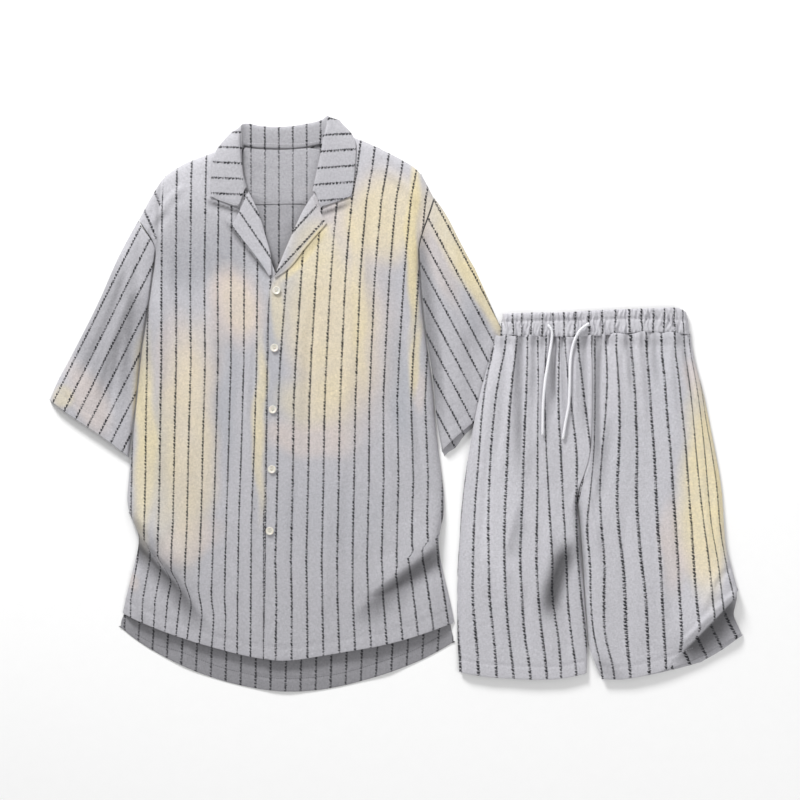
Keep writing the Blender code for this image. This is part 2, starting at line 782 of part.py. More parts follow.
def yoke_patch():
    top = ((-278, 300), (-240, 318), (-216, 328), (-208.6, 343.6), (-182.7, 341.8), (-148.2, 341.1),
           (-127.6, 343.1), (-100.6, 347.0), (-88, 338), (-52, 336), (-8, 318))
    left = (top[0], (-279, 284), (-280, 268))
    right = (top[-1], (-4, 296), (-2, 276))
    bottom = (left[-1], (-150, 268.6), right[-1])
    return patch(left, right, top, bottom)


def sleeve_patch(outer, cuff, armhole, edge, shift):
    """One sleeve: armhole seam at its top, cuff at its foot, the body's edge on its inner side."""
    top = [Point(point.x + shift, point.y - 0.6 * SLEEVE_GAP) for point in armhole] + [edge[0]]
    inner = [point for point in edge if point.y > cuff[-1].y + 8.0] + [cuff[-1]]
    left = [top[0]] + list(outer) + [cuff[0]]
    return patch(left, inner, top, cuff)


def sleeve_roof(pressed):
    """Height of a sleeve's upper wall; pressed is the one that the shorts lie on."""

    def roof(x, y, u, v):
        edge = between(y, BODY, "y", "left" if x < -154.0 else "right")
        puff = SLEEVE_SEAM_HEIGHT + (SLEEVE_PUFF - SLEEVE_SEAM_HEIGHT) * soften(v / 0.3)
        puff += fold_height(SLEEVE_FOLDS, x, y)
        below_arm = 1.0 - soften((y - STRIP_END) / STRIP_FADE)
        tuck = SLEEVE_TUCK + (puff - SLEEVE_TUCK) * rim(abs(x - edge), SLEEVE_SLOPE)
        puff += (tuck - puff) * below_arm
        width = 30.0 + 100.0 * v
        puff *= rim(u * width, SLEEVE_ROUND)
        if pressed:
            under = soften((x - 86.0 - max(0.0, y - 60.0) * 0.25) / 16.0) * soften((140.0 - y) / 22.0)
            puff += (min(puff, SLEEVE_PRESSED) - puff) * under
        return max(puff, CLOTH * 2.0 + 0.4)

    return roof


def build_shirt():
    """Back, yoke, fronts, sleeves, lapels, collar and buttons. Returns the fronts' surface."""
    rows = shares(24, round_in=(0.006, 0.018))
    columns = shares(12, round_in=(0.01, 0.035))
    flipped = [1.0 - share for share in reversed(columns)]
    right_grid = panel_grid(front_right_patch(), columns, rows, shirt_height)
    left_grid = panel_grid(front_left_patch(), flipped, rows,
                           lambda x, y: shirt_height(x, y) + placket_lift(x))
    wall("shirt_front_right", right_grid, "shirt_cloth", lambda x, y: REST)
    wall("shirt_front_left", left_grid, "shirt_cloth", lambda x, y: REST)

    back = panel_grid(back_patch(), shares(14), shares(14, round_out=(0.03, 0.05)),
                      lambda x, y: CLOTH + max(fold_height(BACK_FOLDS, x, y), 0.0)
                      * soften((-338.0 - y) / 24.0))
    wall("shirt_back", back, "shirt_cloth", lambda x, y: 0.0)
    yoke = panel_grid(yoke_patch(), shares(10), shares(3), lambda x, y: CLOTH + ON_TOP)
    wall("shirt_back_yoke", yoke, "shirt_cloth")

    ring = shares(8, round_in=(0.015, 0.05), round_out=(0.015, 0.05))
    lengths = shares(10)
    right_edge = body_edge("left", -SLEEVE_GAP)
    left_edge = body_edge("right", SLEEVE_GAP)
    upper = sleeve_patch(SLEEVE_EDGE_RIGHT, CUFF_RIGHT, ARMHOLE_RIGHT, right_edge, -SLEEVE_GAP)
    tube("shirt_sleeve_right", upper, upper, ring, lengths, sleeve_roof(False),
         sleeve_roof(False), lambda x, y: 0.0, "shirt_cloth")
    upper = sleeve_patch(SLEEVE_EDGE_LEFT, CUFF_LEFT, ARMHOLE_LEFT, left_edge, SLEEVE_GAP)
    under = sleeve_patch(SLEEVE_EDGE_LEFT, CUFF_LEFT_UNDER, ARMHOLE_LEFT, left_edge, SLEEVE_GAP)
    tube("shirt_sleeve_left", upper, under, ring, lengths, sleeve_roof(True),
         sleeve_roof(True), lambda x, y: 0.0, "shirt_cloth")

    fronts = surface([right_grid, left_grid])
    lapel("shirt_lapel_right", LAPEL_RIGHT_EDGE, LAPEL_RIGHT_ROLL, LAPEL_RIGHT_TOP,
          surface([right_grid]))
    lapel("shirt_lapel_left", LAPEL_LEFT_EDGE, LAPEL_LEFT_ROLL, LAPEL_LEFT_TOP, surface([left_grid]))
    collar(fronts)
    for number, spot in enumerate(BUTTONS, start=1):
        button(f"shirt_button_{number}", spot, fronts)


def lapel(name, edge, roll, top, support):
    """Facing that turns out over its front, from its outer edge to its roll line."""
    place = patch(edge, roll, top, (edge[-1], roll[-1]))
    columns = (0.0, 0.3, 0.6, 0.86, 1.0)
    rows = shares(10)
    grid = []
    last_height = 8.0
    for v in rows:
        line = []
        width = (place(1.0, v) - place(0.0, v)).length
        for u in columns:
            spot = place(u, v)
            found = support(spot.x, spot.y)
            last_height = last_height if found is None else found
            lift = ON_TOP + LAPEL_CLEAR + LAPEL_CROWN * soften(u) * rim((1.0 - u) * width, LAPEL_ROUND)
            line.append(Vector((spot.x, spot.y, last_height + lift)))
        grid.append(line)
    wall(name, grid, "shirt_cloth", upright=True)


def collar_section(at):
    """Section of the collar at a place in its table, which may lie between two rows."""
    low = min(int(at), len(COLLAR) - 2)
    share = at - low
    rows = [COLLAR[min(max(low + step, 0), len(COLLAR) - 1)] for step in (-1, 0, 1, 2)]
    values = []
    for p0, p1, p2, p3 in zip(*rows):
        bend = (p2 - p0) + share * (2 * p0 - 5 * p1 + 4 * p2 - p3 + share * (3 * p1 - p0 - 3 * p2 + p3))
        values.append(p1 + 0.5 * share * bend)
    return Section(*values)


def collar(support):
    """Collar from its seam over the roll to its edge, section by section round the neck."""
    places = []
    for index in range(len(COLLAR) - 1):
        steps = CORNER_STEPS if index in COLLAR_CORNERS else 1
        places += [index + step / steps for step in range(steps)]
    places.append(len(COLLAR) - 1)
    grid = []
    for place in places:
        row = collar_section(place)
        seam = Vector((row.seam_x, row.seam_y, row.seam_z))
        roll = Vector((row.roll_x, row.roll_y, row.roll_z))
        edge = Vector((row.edge_x, row.edge_y, row.edge_z))
        turn = min(COLLAR_TURN, 0.45 * (seam.xy - roll.xy).length)
        before = roll + (seam - roll).normalized() * turn
        before.z = row.before_z
        after = roll + (edge - roll).normalized() * COLLAR_TURN
        after.z = row.after_z
        middle = after.lerp(edge, 0.5)
        if place == places[0]:
            middle = Vector((NOTCH_RIGHT.x, NOTCH_RIGHT.y, row.after_z))
        if place == places[-1]:
            middle = Vector((NOTCH_LEFT.x, NOTCH_LEFT.y, row.after_z))
        line = [seam]
        for start, end in ((seam, before), (before, roll), (roll, after), (after, middle), (middle, edge)):
            line += [start.lerp(end, stop) for stop in COLLAR_STOPS]
        for i in (2, 4, 6):
            line[i] = line[i] * 0.6 + (line[i - 1] + line[i + 1]) * 0.2
        for point in line[5:]:
            found = support(point.x, point.y)
            lowest = 0.0 if found is None else found + ON_TOP + COLLAR_CLEAR
            point.z = max(point.z, lowest)
        grid.append(line)
    wall("shirt_collar", grid, "shirt_cloth", lambda x, y: 0.0)


def button(name, spot, support):
    """Round shirt button with a raised rim, lying on the placket."""
    base = support(spot.x, spot.y) + SEAM + 0.2
    profile = ((0.55, 0.0), (0.9, 0.25), (1.0, 0.62), (0.93, 1.0), (0.72, 0.9), (0.6, 0.66))
    points = []
    for reach, rise in profile:
        for side in range(BUTTON_SIDES):
            angle = 2.0 * math.pi * side / BUTTON_SIDES
            points.append(Vector((spot.x + BUTTON_RADIUS * reach * math.cos(angle),
                                  spot.y + BUTTON_RADIUS * reach * math.sin(angle),
                                  base + BUTTON_THICK * rise)))
    faces = [tuple(reversed(range(BUTTON_SIDES)))]
    for ring in range(len(profile) - 1):
        for side in range(BUTTON_SIDES):
            a = ring * BUTTON_SIDES + side
            b = ring * BUTTON_SIDES + (side + 1) % BUTTON_SIDES
            faces.append((a, b, b + BUTTON_SIDES, a + BUTTON_SIDES))
    top = (len(profile) - 1) * BUTTON_SIDES
    faces.append(tuple(range(top, top + BUTTON_SIDES)))
    return add_object(name, points, faces, "button_shell")


def seam_rows(seam_side):
    """Shares that put both legs' rows at the same places along the seam they have in common."""
    lengths = [math.dist(a, b) for a, b in zip(seam_side, seam_side[1:])]
    common = sum(lengths[:len(CENTRE_SEAM + INNER_LEG) - 1]) / sum(lengths)
    rows = [common * step / SEAM_STEPS for step in range(SEAM_STEPS)]
    return rows + [common + (1.0 - common) * step / FOOT_STEPS for step in range(FOOT_STEPS + 1)]


def build_shorts():
    """Legs, waistband and drawstring."""
    columns = shares(11, round_in=(0.02, 0.055), round_out=(0.02,))
    flipped = [1.0 - share for share in reversed(columns)]
    seam_right = offset_line(CENTRE_SEAM + INNER_LEG, -SHORTS_GAP)
    seam_left = offset_line(CENTRE_SEAM + INNER_LEG, SHORTS_GAP)
    right_side = [Point(row.left, row.y) for row in LEGS] + [RIGHT_LEG_HEM[0]]
    left_side = [Point(row.right, row.y) for row in LEGS[1:]]
    waist_right = [point for point in WAIST_SEAM_LINE if point.x < 262.0] + [seam_right[0]]
    waist_left = [seam_left[0]] + [point for point in WAIST_SEAM_LINE if point.x > 264.0]
    legs = (
        ("right", right_side, seam_right + [RIGHT_LEG_HEM[-1]], waist_right,
         RIGHT_LEG_HEM, RIGHT_LEG_HEM, columns),
        ("left", seam_left + [LEFT_LEG_PARTING_END], [waist_left[-1]] + left_side, waist_left,
         LEFT_LEG_FRONT_HEM, LEFT_LEG_BACK_HEM, flipped),
    )
    fronts = []
    for side, left, right, waist, front_hem, back_hem, spread in legs:
        left_line = left[:-1] + [front_hem[0]] if side == "right" else left + [front_hem[0]]
        right_line = right[:-1] + [front_hem[-1]] if side == "right" else right + [front_hem[-1]]
        rows = seam_rows(right_line if side == "right" else left_line)
        front = panel_grid(patch(left_line, right_line, waist, front_hem), spread, rows, shorts_height)
        wall(f"shorts_front_{side}", front, "shorts_cloth", lambda x, y: REST + shorts_lift(x, y))
        fronts.append(front)
        left_line = left_line[:-1] + [back_hem[0]]
        right_line = right_line[:-1] + [back_hem[-1]]
        back = panel_grid(patch(left_line, right_line, waist, back_hem), shares(6), rows,
                          lambda x, y: CLOTH + shorts_lift(x, y))
        wall(f"shorts_back_{side}", back, "shorts_cloth", upright=True)
    waistband()
    drawstring("drawstring_right", CORD_RIGHT, surface(fronts))
    drawstring("drawstring_left", CORD_LEFT, surface(fronts))


def band_place():
    """Waistband patch, from its left end to its right and from its top down."""
    left = (BAND_TOP[0], Point(139.6, 107.0), BAND_BOTTOM[0])
    right = (BAND_TOP[-1], Point(395.2, 110.0), BAND_BOTTOM[-1])
    return patch(left, right, BAND_TOP, BAND_BOTTOM)


def band_roof(ruffle):
    """Height of the waistband's upper wall above what it lies on."""

    def roof(x, y, u, v):
        from_end = min(u, 1.0 - u) * BAND_WIDTH
        height = BAND_HEIGHT * rim(from_end, BAND_ROUND)
        height *= 0.84 + 0.16 * rim(min(v, 1.0 - v) * BAND_DEPTH, 4.0)
        channel = abs(v - BAND_ROWS[CHANNEL_ROW]) * BAND_DEPTH
        height -= CHANNEL_DIP * (1.0 - soften(channel / 5.0))
        uneven = 0.7 + 0.3 * math.sin(9.0 * u * math.pi + 4.0 * v)
        wave = math.cos(2.0 * math.pi * RUFFLES * u)
        return height + ruffle * uneven * wave * soften(from_end / BAND_ROUND)

    return roof


def waistband():
    """Elastic ring pressed flat, gathered into fine ruffles."""
    columns = [i / (2.0 * RUFFLES) for i in range(2 * RUFFLES + 1)]
    place = band_place()
    plain = band_roof(0.0)
    tube("shorts_waistband", place, place, columns, BAND_ROWS, band_roof(RUFFLE),
         lambda x, y, u, v: plain(x, y, u, v) - RUFFLE, shorts_lift, "shorts_cloth", BAND_WALL)


def drawstring(name, points, fronts):
    """Free end of the drawstring, lying on the waistband and the front."""
    roof = band_roof(RUFFLE)
    line = route(points)
    length = sum(math.dist(a, b) for a, b in zip(points, points[1:]))
    count = int(length / CORD_STEP)
    route_points = []
    for step in range(count + 1):
        spot = line(step / count)
        found = [fronts(spot.x + across, spot.y) for across in (-CORD_RADIUS, 0.0, CORD_RADIUS)]
        on_leg = max((height for height in found if height is not None), default=0.0)
        u = (spot.x - BAND_BOTTOM[0].x) / BAND_WIDTH
        v = min(max((BAND_TOP[2].y - spot.y) / BAND_DEPTH, 0.0), 1.0)
        on_band = roof(spot.x, spot.y, u, v) + shorts_lift(spot.x, spot.y)
        share = soften((spot.y - BAND_BOTTOM[2].y + 8.0) / 6.0)
        height = max(on_leg, on_band * share)
        route_points.append(Vector((spot.x, spot.y, height + CORD_RADIUS + CORD_CLEAR)))
    for _ in range(2):
        heights = [point.z for point in route_points]
        for i in range(1, count):
            middle = 0.5 * (heights[i - 1] + heights[i + 1])
            route_points[i].z = max(heights[i], middle)
    curve = bpy.data.curves.new(name, "CURVE")
    curve.dimensions = "3D"
    curve.bevel_depth = CORD_RADIUS * MM
    curve.bevel_resolution = 2
    curve.use_fill_caps = True
    spline = curve.splines.new("POLY")
    spline.points.add(count)
    for knot, point in zip(spline.points, route_points):
        knot.co = (point.x * MM, point.y * MM, point.z * MM, 1.0)
    curve.materials.append(make_material("cord_cotton"))
    cord = bpy.data.objects.new(name, curve)
    bpy.context.scene.collection.objects.link(cord)
    return cord


def main():
    for old in list(bpy.data.objects):
        bpy.data.objects.remove(old, do_unlink=True)
    build_shirt()
    build_shorts()


main()
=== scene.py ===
"""Looks of a striped short-sleeved shirt and drawstring shorts, laid flat side by side.

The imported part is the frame: metres, table top at z = 0, neck and waist towards +Y and the
wearer's left at +X. The tables below are in millimetres and are turned into metres by MM.
"""

import math
from collections import namedtuple

import bmesh
import bpy
import numpy as np
from bpy.props import FloatProperty, FloatVectorProperty, IntProperty, PointerProperty
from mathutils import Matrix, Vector
from mathutils.bvhtree import BVHTree


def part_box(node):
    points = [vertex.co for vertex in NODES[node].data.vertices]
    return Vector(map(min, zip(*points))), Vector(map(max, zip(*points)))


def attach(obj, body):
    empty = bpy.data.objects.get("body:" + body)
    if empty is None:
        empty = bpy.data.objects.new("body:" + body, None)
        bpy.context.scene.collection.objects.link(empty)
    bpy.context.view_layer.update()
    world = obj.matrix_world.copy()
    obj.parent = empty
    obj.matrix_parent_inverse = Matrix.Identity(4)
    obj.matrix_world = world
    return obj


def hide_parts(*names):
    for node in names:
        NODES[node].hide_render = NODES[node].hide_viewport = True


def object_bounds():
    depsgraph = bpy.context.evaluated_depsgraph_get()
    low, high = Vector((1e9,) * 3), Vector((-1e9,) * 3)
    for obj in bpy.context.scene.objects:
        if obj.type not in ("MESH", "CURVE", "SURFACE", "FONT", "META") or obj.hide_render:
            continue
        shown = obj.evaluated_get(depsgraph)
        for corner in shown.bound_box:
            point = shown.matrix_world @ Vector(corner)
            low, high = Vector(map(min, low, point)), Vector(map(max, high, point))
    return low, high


bl_info = {
    "name": "Striped shirt and shorts",
    "version": (1, 0, 0),
    "blender": (4, 5, 0),
    "location": "3D View > Sidebar > Garments",
    "description": "Dresses a flat-laid shirt and shorts in striped, softly dyed cotton",
    "category": "Object",
}

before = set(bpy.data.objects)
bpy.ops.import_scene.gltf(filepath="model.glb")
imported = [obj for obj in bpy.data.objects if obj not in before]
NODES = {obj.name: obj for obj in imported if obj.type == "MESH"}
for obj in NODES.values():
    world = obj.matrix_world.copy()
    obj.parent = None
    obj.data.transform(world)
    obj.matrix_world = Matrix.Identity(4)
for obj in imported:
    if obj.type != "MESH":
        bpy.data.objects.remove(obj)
CAD_BOX = [list(corner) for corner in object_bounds()]

MM = 0.001
ROOT = "root"
# To restore a panel's quads, points this near merge, and edges and corners this sharp stay
DOUBLES = 0.01 * MM
QUAD_ANGLE = math.radians(70)
RIM_ANGLE = math.radians(60)
CORNER_ANGLE = math.radians(35)

Guide = namedtuple("Guide", "y first middle last")
Fold = namedtuple("Fold", "x0 y0 x1 y1 bow height left right")
Cloud = namedtuple("Cloud", "x y reach_x reach_y turn strength")
Cut = namedtuple("Cut", "width length area held rests_on")
Leaf = namedtuple("Leaf", "x y pitch lean")
Sleeve = namedtuple("Sleeve", "side tip end start sign")
Lapel = namedtuple("Lapel", "side first last pitch")
Strand = namedtuple("Strand", "side cell lean half")
ClothLook = namedtuple("ClothLook", "shade breadth ink")
Lamp = namedtuple("Lamp", "name place size share")


def table(kind, *rows):
    """Rows with named columns."""
    return tuple(kind(*row) for row in rows)


# Stripes. A guide gives where three stripes of a panel lie at one height.
RIGHT_FRONT_COUNTS = (0, 4, 8)
RIGHT_FRONT_GUIDES = table(
    Guide,
    (340, -335, -256, -187),
    (168, -335, -258, -187),
    (60, -335.5, -257, -188),
    (-48, -337, -260, -191),
    (-156, -338, -262.5, -195),
    (-318, -342, -269, -196.4),
)
FOLDED_COUNTS = (-2, 3, 8)
FOLDED_GUIDES = table(
    Guide,
    (-150, -345, -262, -195),
    (-210, -349, -265, -196),
    (-264, -358, -275, -196.4),
    (-330, -358, -284, -196.4),
)
LEFT_FRONT_COUNTS = (0, 5, 10)
LEFT_FRONT_GUIDES = table(
    Guide,
    (370, -127, -26, 74),
    (316, -133, -33, 67),
    (276, -139, -40, 59),
    (222, -144.5, -45, 54),
    (168, -148, -49, 49),
    (60, -156, -53, 41),
    (6, -158.6, -55, 38.5),
    (-102, -160, -57, 42.5),
    (-210, -162.7, -59, 38.5),
    (-264, -161.3, -58.7, 45),
    (-345, -162.7, -55, 55),
)
BACK_COUNTS = (-5, 0, 5)
BACK_GUIDES = table(
    Guide,
    (400, -252.6, -158.6, -64.6),
    (160, -252.6, -158.6, -64.6),
    (-300, -268, -169, -66),
    (-390, -272, -170, -69),
)
# Each leg's stripes, with their places across at the heights of LEG_HEIGHTS
LEG_HEIGHTS = (81, 32, -17, -66, -115, -164, -213, -262, -311, -361)
RIGHT_LEG_LINES = (
    (132, 120, 114, 111, 107, 104, 103, 102, 107, 111),
    (148, 136, 130, 126, 124, 123, 124, 125, 131, 135),
    (162, 155, 151, 149, 147, 145, 145, 147, 151, 158),
    (176, 175, 173, 171, 170, 168, 166, 169, 172, 181),
    (190, 191, 190, 190, 190, 189, 188, 191, 196, 203),
    (201, 199, 199, 201, 204, 207, 210, 209, 218, 222),
    (220, 218, 218, 221, 223, 226, 229, 230, 235, 243),
    (226, 231, 237, 243, 242, 242, 244, 249, 255, 261),
    (244, 250, 256, 262, 264, 266, 267, 269, 274, 279),
)
LEFT_LEG_LINES = (
    (267, 267, 267, 266, 261, 255, 261, 261, 265, 278),
    (282, 284, 281, 276, 273, 275, 280, 278, 279, 294),
    (295, 298, 300, 299, 296, 298, 305, 308, 309, 315),
    (315, 320, 322, 324, 322, 325, 329, 336, 338, 341),
    (336, 340, 343, 347, 349, 351, 355, 357, 360, 364),
    (356, 361, 364, 369, 372, 376, 379, 381, 384, 379),
    (374, 380, 385, 390, 393, 397, 400, 403, 408, 413),
    (387, 394, 399, 403, 408, 414, 421, 425, 429, 436),
    (394, 403, 410, 415, 419, 423, 433, 437, 444, 449),
    (400, 410, 416, 425, 432, 435, 443, 454, 457, 459),
)
# Where the left leg's hem is turned under, and how its stripes run there
LEG_TURN = ((366, -356), (374, -343), (390, -328), (408, -303), (424, -292), (442, -277), (462, -254))
TURNED_FIRST = 403.0
TURNED_PITCH = 27.0
TURNED_LEAN = 0.52
TURNED_LEVEL = -311.5
# Places of the waistband's stripes
BAND_LINES = (141, 155.9, 168.2, 181.8, 196.1, 210.3, 225.3, 241, 258.8,
              276.6, 294.6, 313.2, 329.5, 345.9, 360.6, 373.7, 385.2, 396)
# Edge of the fold that hangs over on the right front. Its stripes change there over a width that
# depends on the place across, as far as an end that fades
BLOUSE_EDGE = ((-372, -146), (-349, -171), (-324, -208), (-305, -231), (-289, -248), (-276, -261),
               (-250, -278))
BLOUSE_DROP = 2.0
BLOUSE_WIDTHS = ((-330.0, -262.0), (1.0, 20.0))
BLOUSE_END = -200.0
BLOUSE_FADE = 40.0
# Fold of the left front where its stripes jog: the steps by places across, how far they reach
# below and above the fold, and the share that goes back above it
JOG_EDGE = ((-38, -253), (-18, -239), (2, -219), (7, -208), (25, -199), (37, -190), (57, -174))
JOG_STEPS = ((-30.0, 0.0, 24.0, 44.0), (0.0, 1.8, 4.6, 6.0))
JOG_BELOW = 32.0
JOG_ABOVE = 22.0
JOG_BACK = 0.6
JOG_LOW = -330.0
# The sleeve's cap shows its own slanting stripes beside the right shoulder's seam
CAP_SEAM = ((-314.0, 303.0), (-317.6, 265.0), (-321.9, 222.0))
CAP_STRIPE = ((-326.3, 287.5), (-315.9, 263.4))
CAP_PITCH = 22.6
# The placket's own stripe, and how far from it the left front's other stripes begin
PLACKET_STRIPE = ((-179.5, -334), (-177.4, -254), (-175.7, -126), (-173.9, 33), (-171.5, 150))
PLACKET_ROOM = 8.0
STRIPE_PITCH = 19.5
SLEEVE_PITCH = 18.8
SLEEVES = table(
    Sleeve,
    ("right", (-347.0, 249.0), (-468.0, 6.0), 6.5, -1),
    ("left", (50.0, 279.0), (179.0, 36.0), 1.0, 1),
)
LAPELS = table(
    Lapel,
    ("right", (-208.6, 255.3), (-169.8, 198.0), 18.8),
    ("left", (-162.1, 176.3), (-97.0, 247.6), 20.8),
)
# Stripes of the collar's leaves, and where the leaves' inner edges are, across and in height
LEAF_RIGHT = Leaf(-228.0, 346.2, 21.0, -0.045)
LEAF_LEFT = Leaf(-80.0, 363.6, 22.0, 0.07)
LEAF_EDGE_RIGHT = -208.0
LEAF_EDGE_LEFT = -104.5
LEAF_LEVEL_RIGHT = 344.0
LEAF_LEVEL_LEFT = 345.0
# The two rows of broken marks that make a stripe, in shares of its width and of a fleck's length
STRANDS = (Strand(-0.10, 1.0, 1.0, 0.26), Strand(0.16, 0.63, -1.0, 0.15))

# Dyed clouds, as soft patches of warm yellow, rose beige and cool blue-grey
SHIRT_DYES = {
    "warm": table(
        Cloud,
        (-338, -44, 15, 122, 0, 0.78),
        (-280, -48, 34, 140, 0, 0.50),
        (-312, -90, 14, 90, 0, 0.30),
        (-184, -24, 8, 108, 0, 0.66),
        (-14, 250, 56, 50, -10, 0.62),
        (-88, 108, 56, 112, -8, 0.58),
        (-52, 150, 9, 130, -4, 0.40),
        (-116, 8, 44, 34, 0, 0.42),
        (22, 216, 8, 108, 1, 0.95),
        (-122, 203, 7, 42, 43, 0.90),
        (26, 62, 7, 44, 2, 0.66),
        (86, 214, 22, 68, -28, 0.66),
        (118, 150, 14, 60, -28, 0.80),
        (-451, 6, 14, 16, 0, 0.50),
        (-112, 206, 30, 34, 0, 0.35),
        (-158, 128, 9, 40, 0, 0.45),
        (-212, 130, 22, 36, 0, 0.24),
    ),
    "rose": table(
        Cloud,
        (-214, 130, 36, 50, 0, 0.85),
        (-276, -40, 34, 130, 0, 0.45),
        (-300, 60, 24, 66, 0, 0.45),
        (-258, 70, 26, 50, 0, 0.30),
        (-416, 13, 24, 46, -24, 0.55),
        (-72, 80, 64, 120, 0, 0.60),
        (-30, 250, 70, 60, 0, 0.50),
        (-120, -46, 56, 24, 0, 0.60),
        (-276, -186, 42, 24, -20, 0.55),
        (-356, -241, 8, 12, 0, 0.50),
        (60, 190, 18, 60, -20, 0.40),
        (34, 20, 8, 26, 0, 0.45),
    ),
    "cool": table(
        Cloud,
        (2, 34, 16, 78, -3, 0.95),
        (-60, 300, 44, 24, 0, 0.35),
        (-228, 20, 14, 100, 0, 0.70),
        (-166, 40, 10, 110, 0, 0.55),
        (-180, 150, 8, 50, 0, 0.50),
        (-260, 190, 60, 36, 0, 0.50),
        (-90, -150, 80, 50, 0, 0.30),
        (80, 150, 9, 70, -24, 0.55),
    ),
}
SHORTS_DYES = {
    "warm": (Cloud(418, -106, 34, 124, 2, 0.85), Cloud(440, -150, 14, 80, 6, 0.35)),
    "rose": (Cloud(372, -190, 18, 62, 0, 0.50), Cloud(404, 30, 16, 24, -12, 0.45),
             Cloud(408, -206, 26, 26, 0, 0.50)),
    "cool": (Cloud(362, 30, 22, 60, 0, 0.30), Cloud(300, -60, 30, 60, 0, 0.20)),
}

# A cloud fades out at this share of its reach, over this much; a fold's ends fade over a share
# of its length
CLOUD_EDGE = 1.42
CLOUD_FADE = 0.84
FOLD_FADE = 0.3

# Painted shade, from 0 to 1: shadow in the folds' depths, under the overhanging folds, the collar and the
# lapels, beside the armhole and in the shorts' pleats
SHIRT_PAINTED_SHADE = table(
    Fold,
    (-378, -150, -244, -310, 0, 0.62, 8, 28),
    (86, -172, -70, -299, 0, 0.58, 34, 13),
    (-350, -120, -344, -230, 0, 0.14, 10, 10),
    (-262, 276, -194, 254, 0, 0.45, 6, 9),
    (-262, 276, -197, 255, 0, 0.35, 2, 5),
    (-112, 252, -52, 276, 0, 0.35, 6, 8),
    (-120, 252, -60, 270, 0, 0.35, 2, 6),
    (-238, 256, -160, 158, 0, 0.40, 2, 8),
    (-236, 256, -160, 158, 0, 0.40, 2, 3),
    (-92, 237, -152, 180, 0, 0.25, 12, 4),
    (-316, 330, -322, 196, 2, 0.22, 3, 7),
)
SLEEVE_PAINTED_SHADE = table(
    Fold,
    (22, 300, 58, -70, -2, 0.46, 19, 10),
    (-346, 262, -372, -40, 0, 0.18, 9, 13),
)
SHORTS_PAINTED_SHADE = table(
    Fold,
    (242, -174, 202, -300, 5, 0.84, 20, 27),
    (174, -140, 152, -220, 0, 0.22, 17, 15),
    (243, -112, 254, -250, 2, 0.40, 8, 10),
    (474, -242, 366, -356, 0, 0.78, 62, 4),
    (258, -336, 312, -378, 0, 0.20, 20, 20),
    (171, 140, 168, -110, 2, 0.34, 3, 12),
    (190, 140, 188, -20, 2, 0.16, 3, 7),
    (211, 140, 213, -20, 0, 0.36, 4, 8),
    (224, 140, 227, -40, 0, 0.20, 3, 5),
    (255, 140, 257, -60, 2, 0.24, 4, 8),
    (279, 140, 275, -120, 4, 0.36, 3, 12),
    (313, 140, 320, 0, 2, 0.20, 3, 8),
    (347, 140, 356, 6, 3, 0.18, 4, 8),
    (385, 140, 402, 0, 4, 0.18, 4, 8),
    (288, -10, 268, -150, -3, 0.18, 12, 9),
)
SHIRT_SHADES = (Cloud(-262, 206, 72, 44, 0, 0.16), Cloud(-396, 116, 56, 100, -28, 0.22))
SHORTS_SHADES = (Cloud(136, -136, 32, 86, 0, -0.10),)
LEAF_SHADE = 0.08
STAND_SHADE = 0.13
BACK_HEM_SHADE = 0.15
BACK_HEM_TOP = -200.0
MOST_SHADE_SHIRT = 0.75
MOST_SHADE_SHORTS = 0.80
ROLL_SHADE = 0.42
ROLL_REACH = 5.0
ROLL_LINE = ((-209.0, 355.0), (-204.6, 314.0), (-193.3, 276.0), (-180.0, 252.0))

# Creases laid over the CAD's large folds: troughs below zero, ridges above
SHIRT_CREASES = table(
    Fold,
    (-398, -128, -262, -272, -7, 5.0, 34, 7),
    (104, -150, -52, -262, -4, 4.6, 8, 34),
    (-374, -166, -258, -284, 2, -3.4, 6, 24),
    (84, -192, -50, -270, 0, -3.2, 28, 5),
    (-344, 60, -330, -130, 6, -2.2, 9, 14),
    (-318, 190, -324, -40, -4, 2.0, 10, 14),
    (-296, 214, -272, 20, 8, -2.2, 12, 9),
    (-262, 250, -250, 40, -6, 2.2, 14, 10),
    (-232, 120, -228, -150, 6, -2.0, 10, 13),
    (-206, 60, -198, -250, -5, 1.8, 10, 8),
    (-280, -10, -262, -220, 8, 2.2, 13, 11),
    (-312, -60, -286, -210, 5, -2.2, 9, 12),
    (-352, -212, -338, -300, 4, 2.0, 9, 11),
    (-322, -232, -306, -330, 4, 2.0, 10, 8),
    (-292, -250, -280, -340, 4, -1.8, 9, 9),
    (-246, -240, -232, -346, 4, -2.0, 10, 8),
    (-212, -200, -206, -340, 3, 1.6, 8, 10),
    (-106, 170, -118, -90, 6, -2.0, 11, 14),
    (-74, 210, -66, -20, -6, 2.0, 12, 10),
    (-34, 290, -22, 60, 5, -2.0, 11, 13),
    (2, 240, 20, 20, -5, 2.0, 10, 12),
    (26, 60, 38, -120, 4, -2.2, 9, 9),
    (-20, -10, -8, -170, -5, 2.0, 12, 9),
    (-60, -60, -66, -260, 5, -2.0, 12, 10),
    (-96, -100, -104, -330, -5, 1.8, 12, 12),
    (-132, -60, -138, -300, 3, -1.6, 9, 12),
    (44, -220, 60, -300, 3, 2.0, 9, 9),
    (12, -250, 24, -326, 3, -1.8, 10, 9),
    (-30, -256, -26, -350, 3, 1.8, 11, 10),
    (-276, 300, -330, 238, 6, 2.0, 10, 8),
    (-300, 262, -342, 200, 6, -1.8, 9, 9),
    (-30, 326, 36, 262, -6, 2.0, 8, 10),
    (-190, 96, -196, -40, 0, -1.8, 12, 6),
)
BACK_CREASES = table(
    Fold,
    (-92, -330, -76, -394, 0, 3.2, 8, 12),
    (-222, -330, -214, -400, 2, 1.0, 12, 10),
    (18, -310, 34, -370, 2, 1.2, 10, 12),
    (-350, -286, -344, -340, 0, 0.8, 9, 9),
)
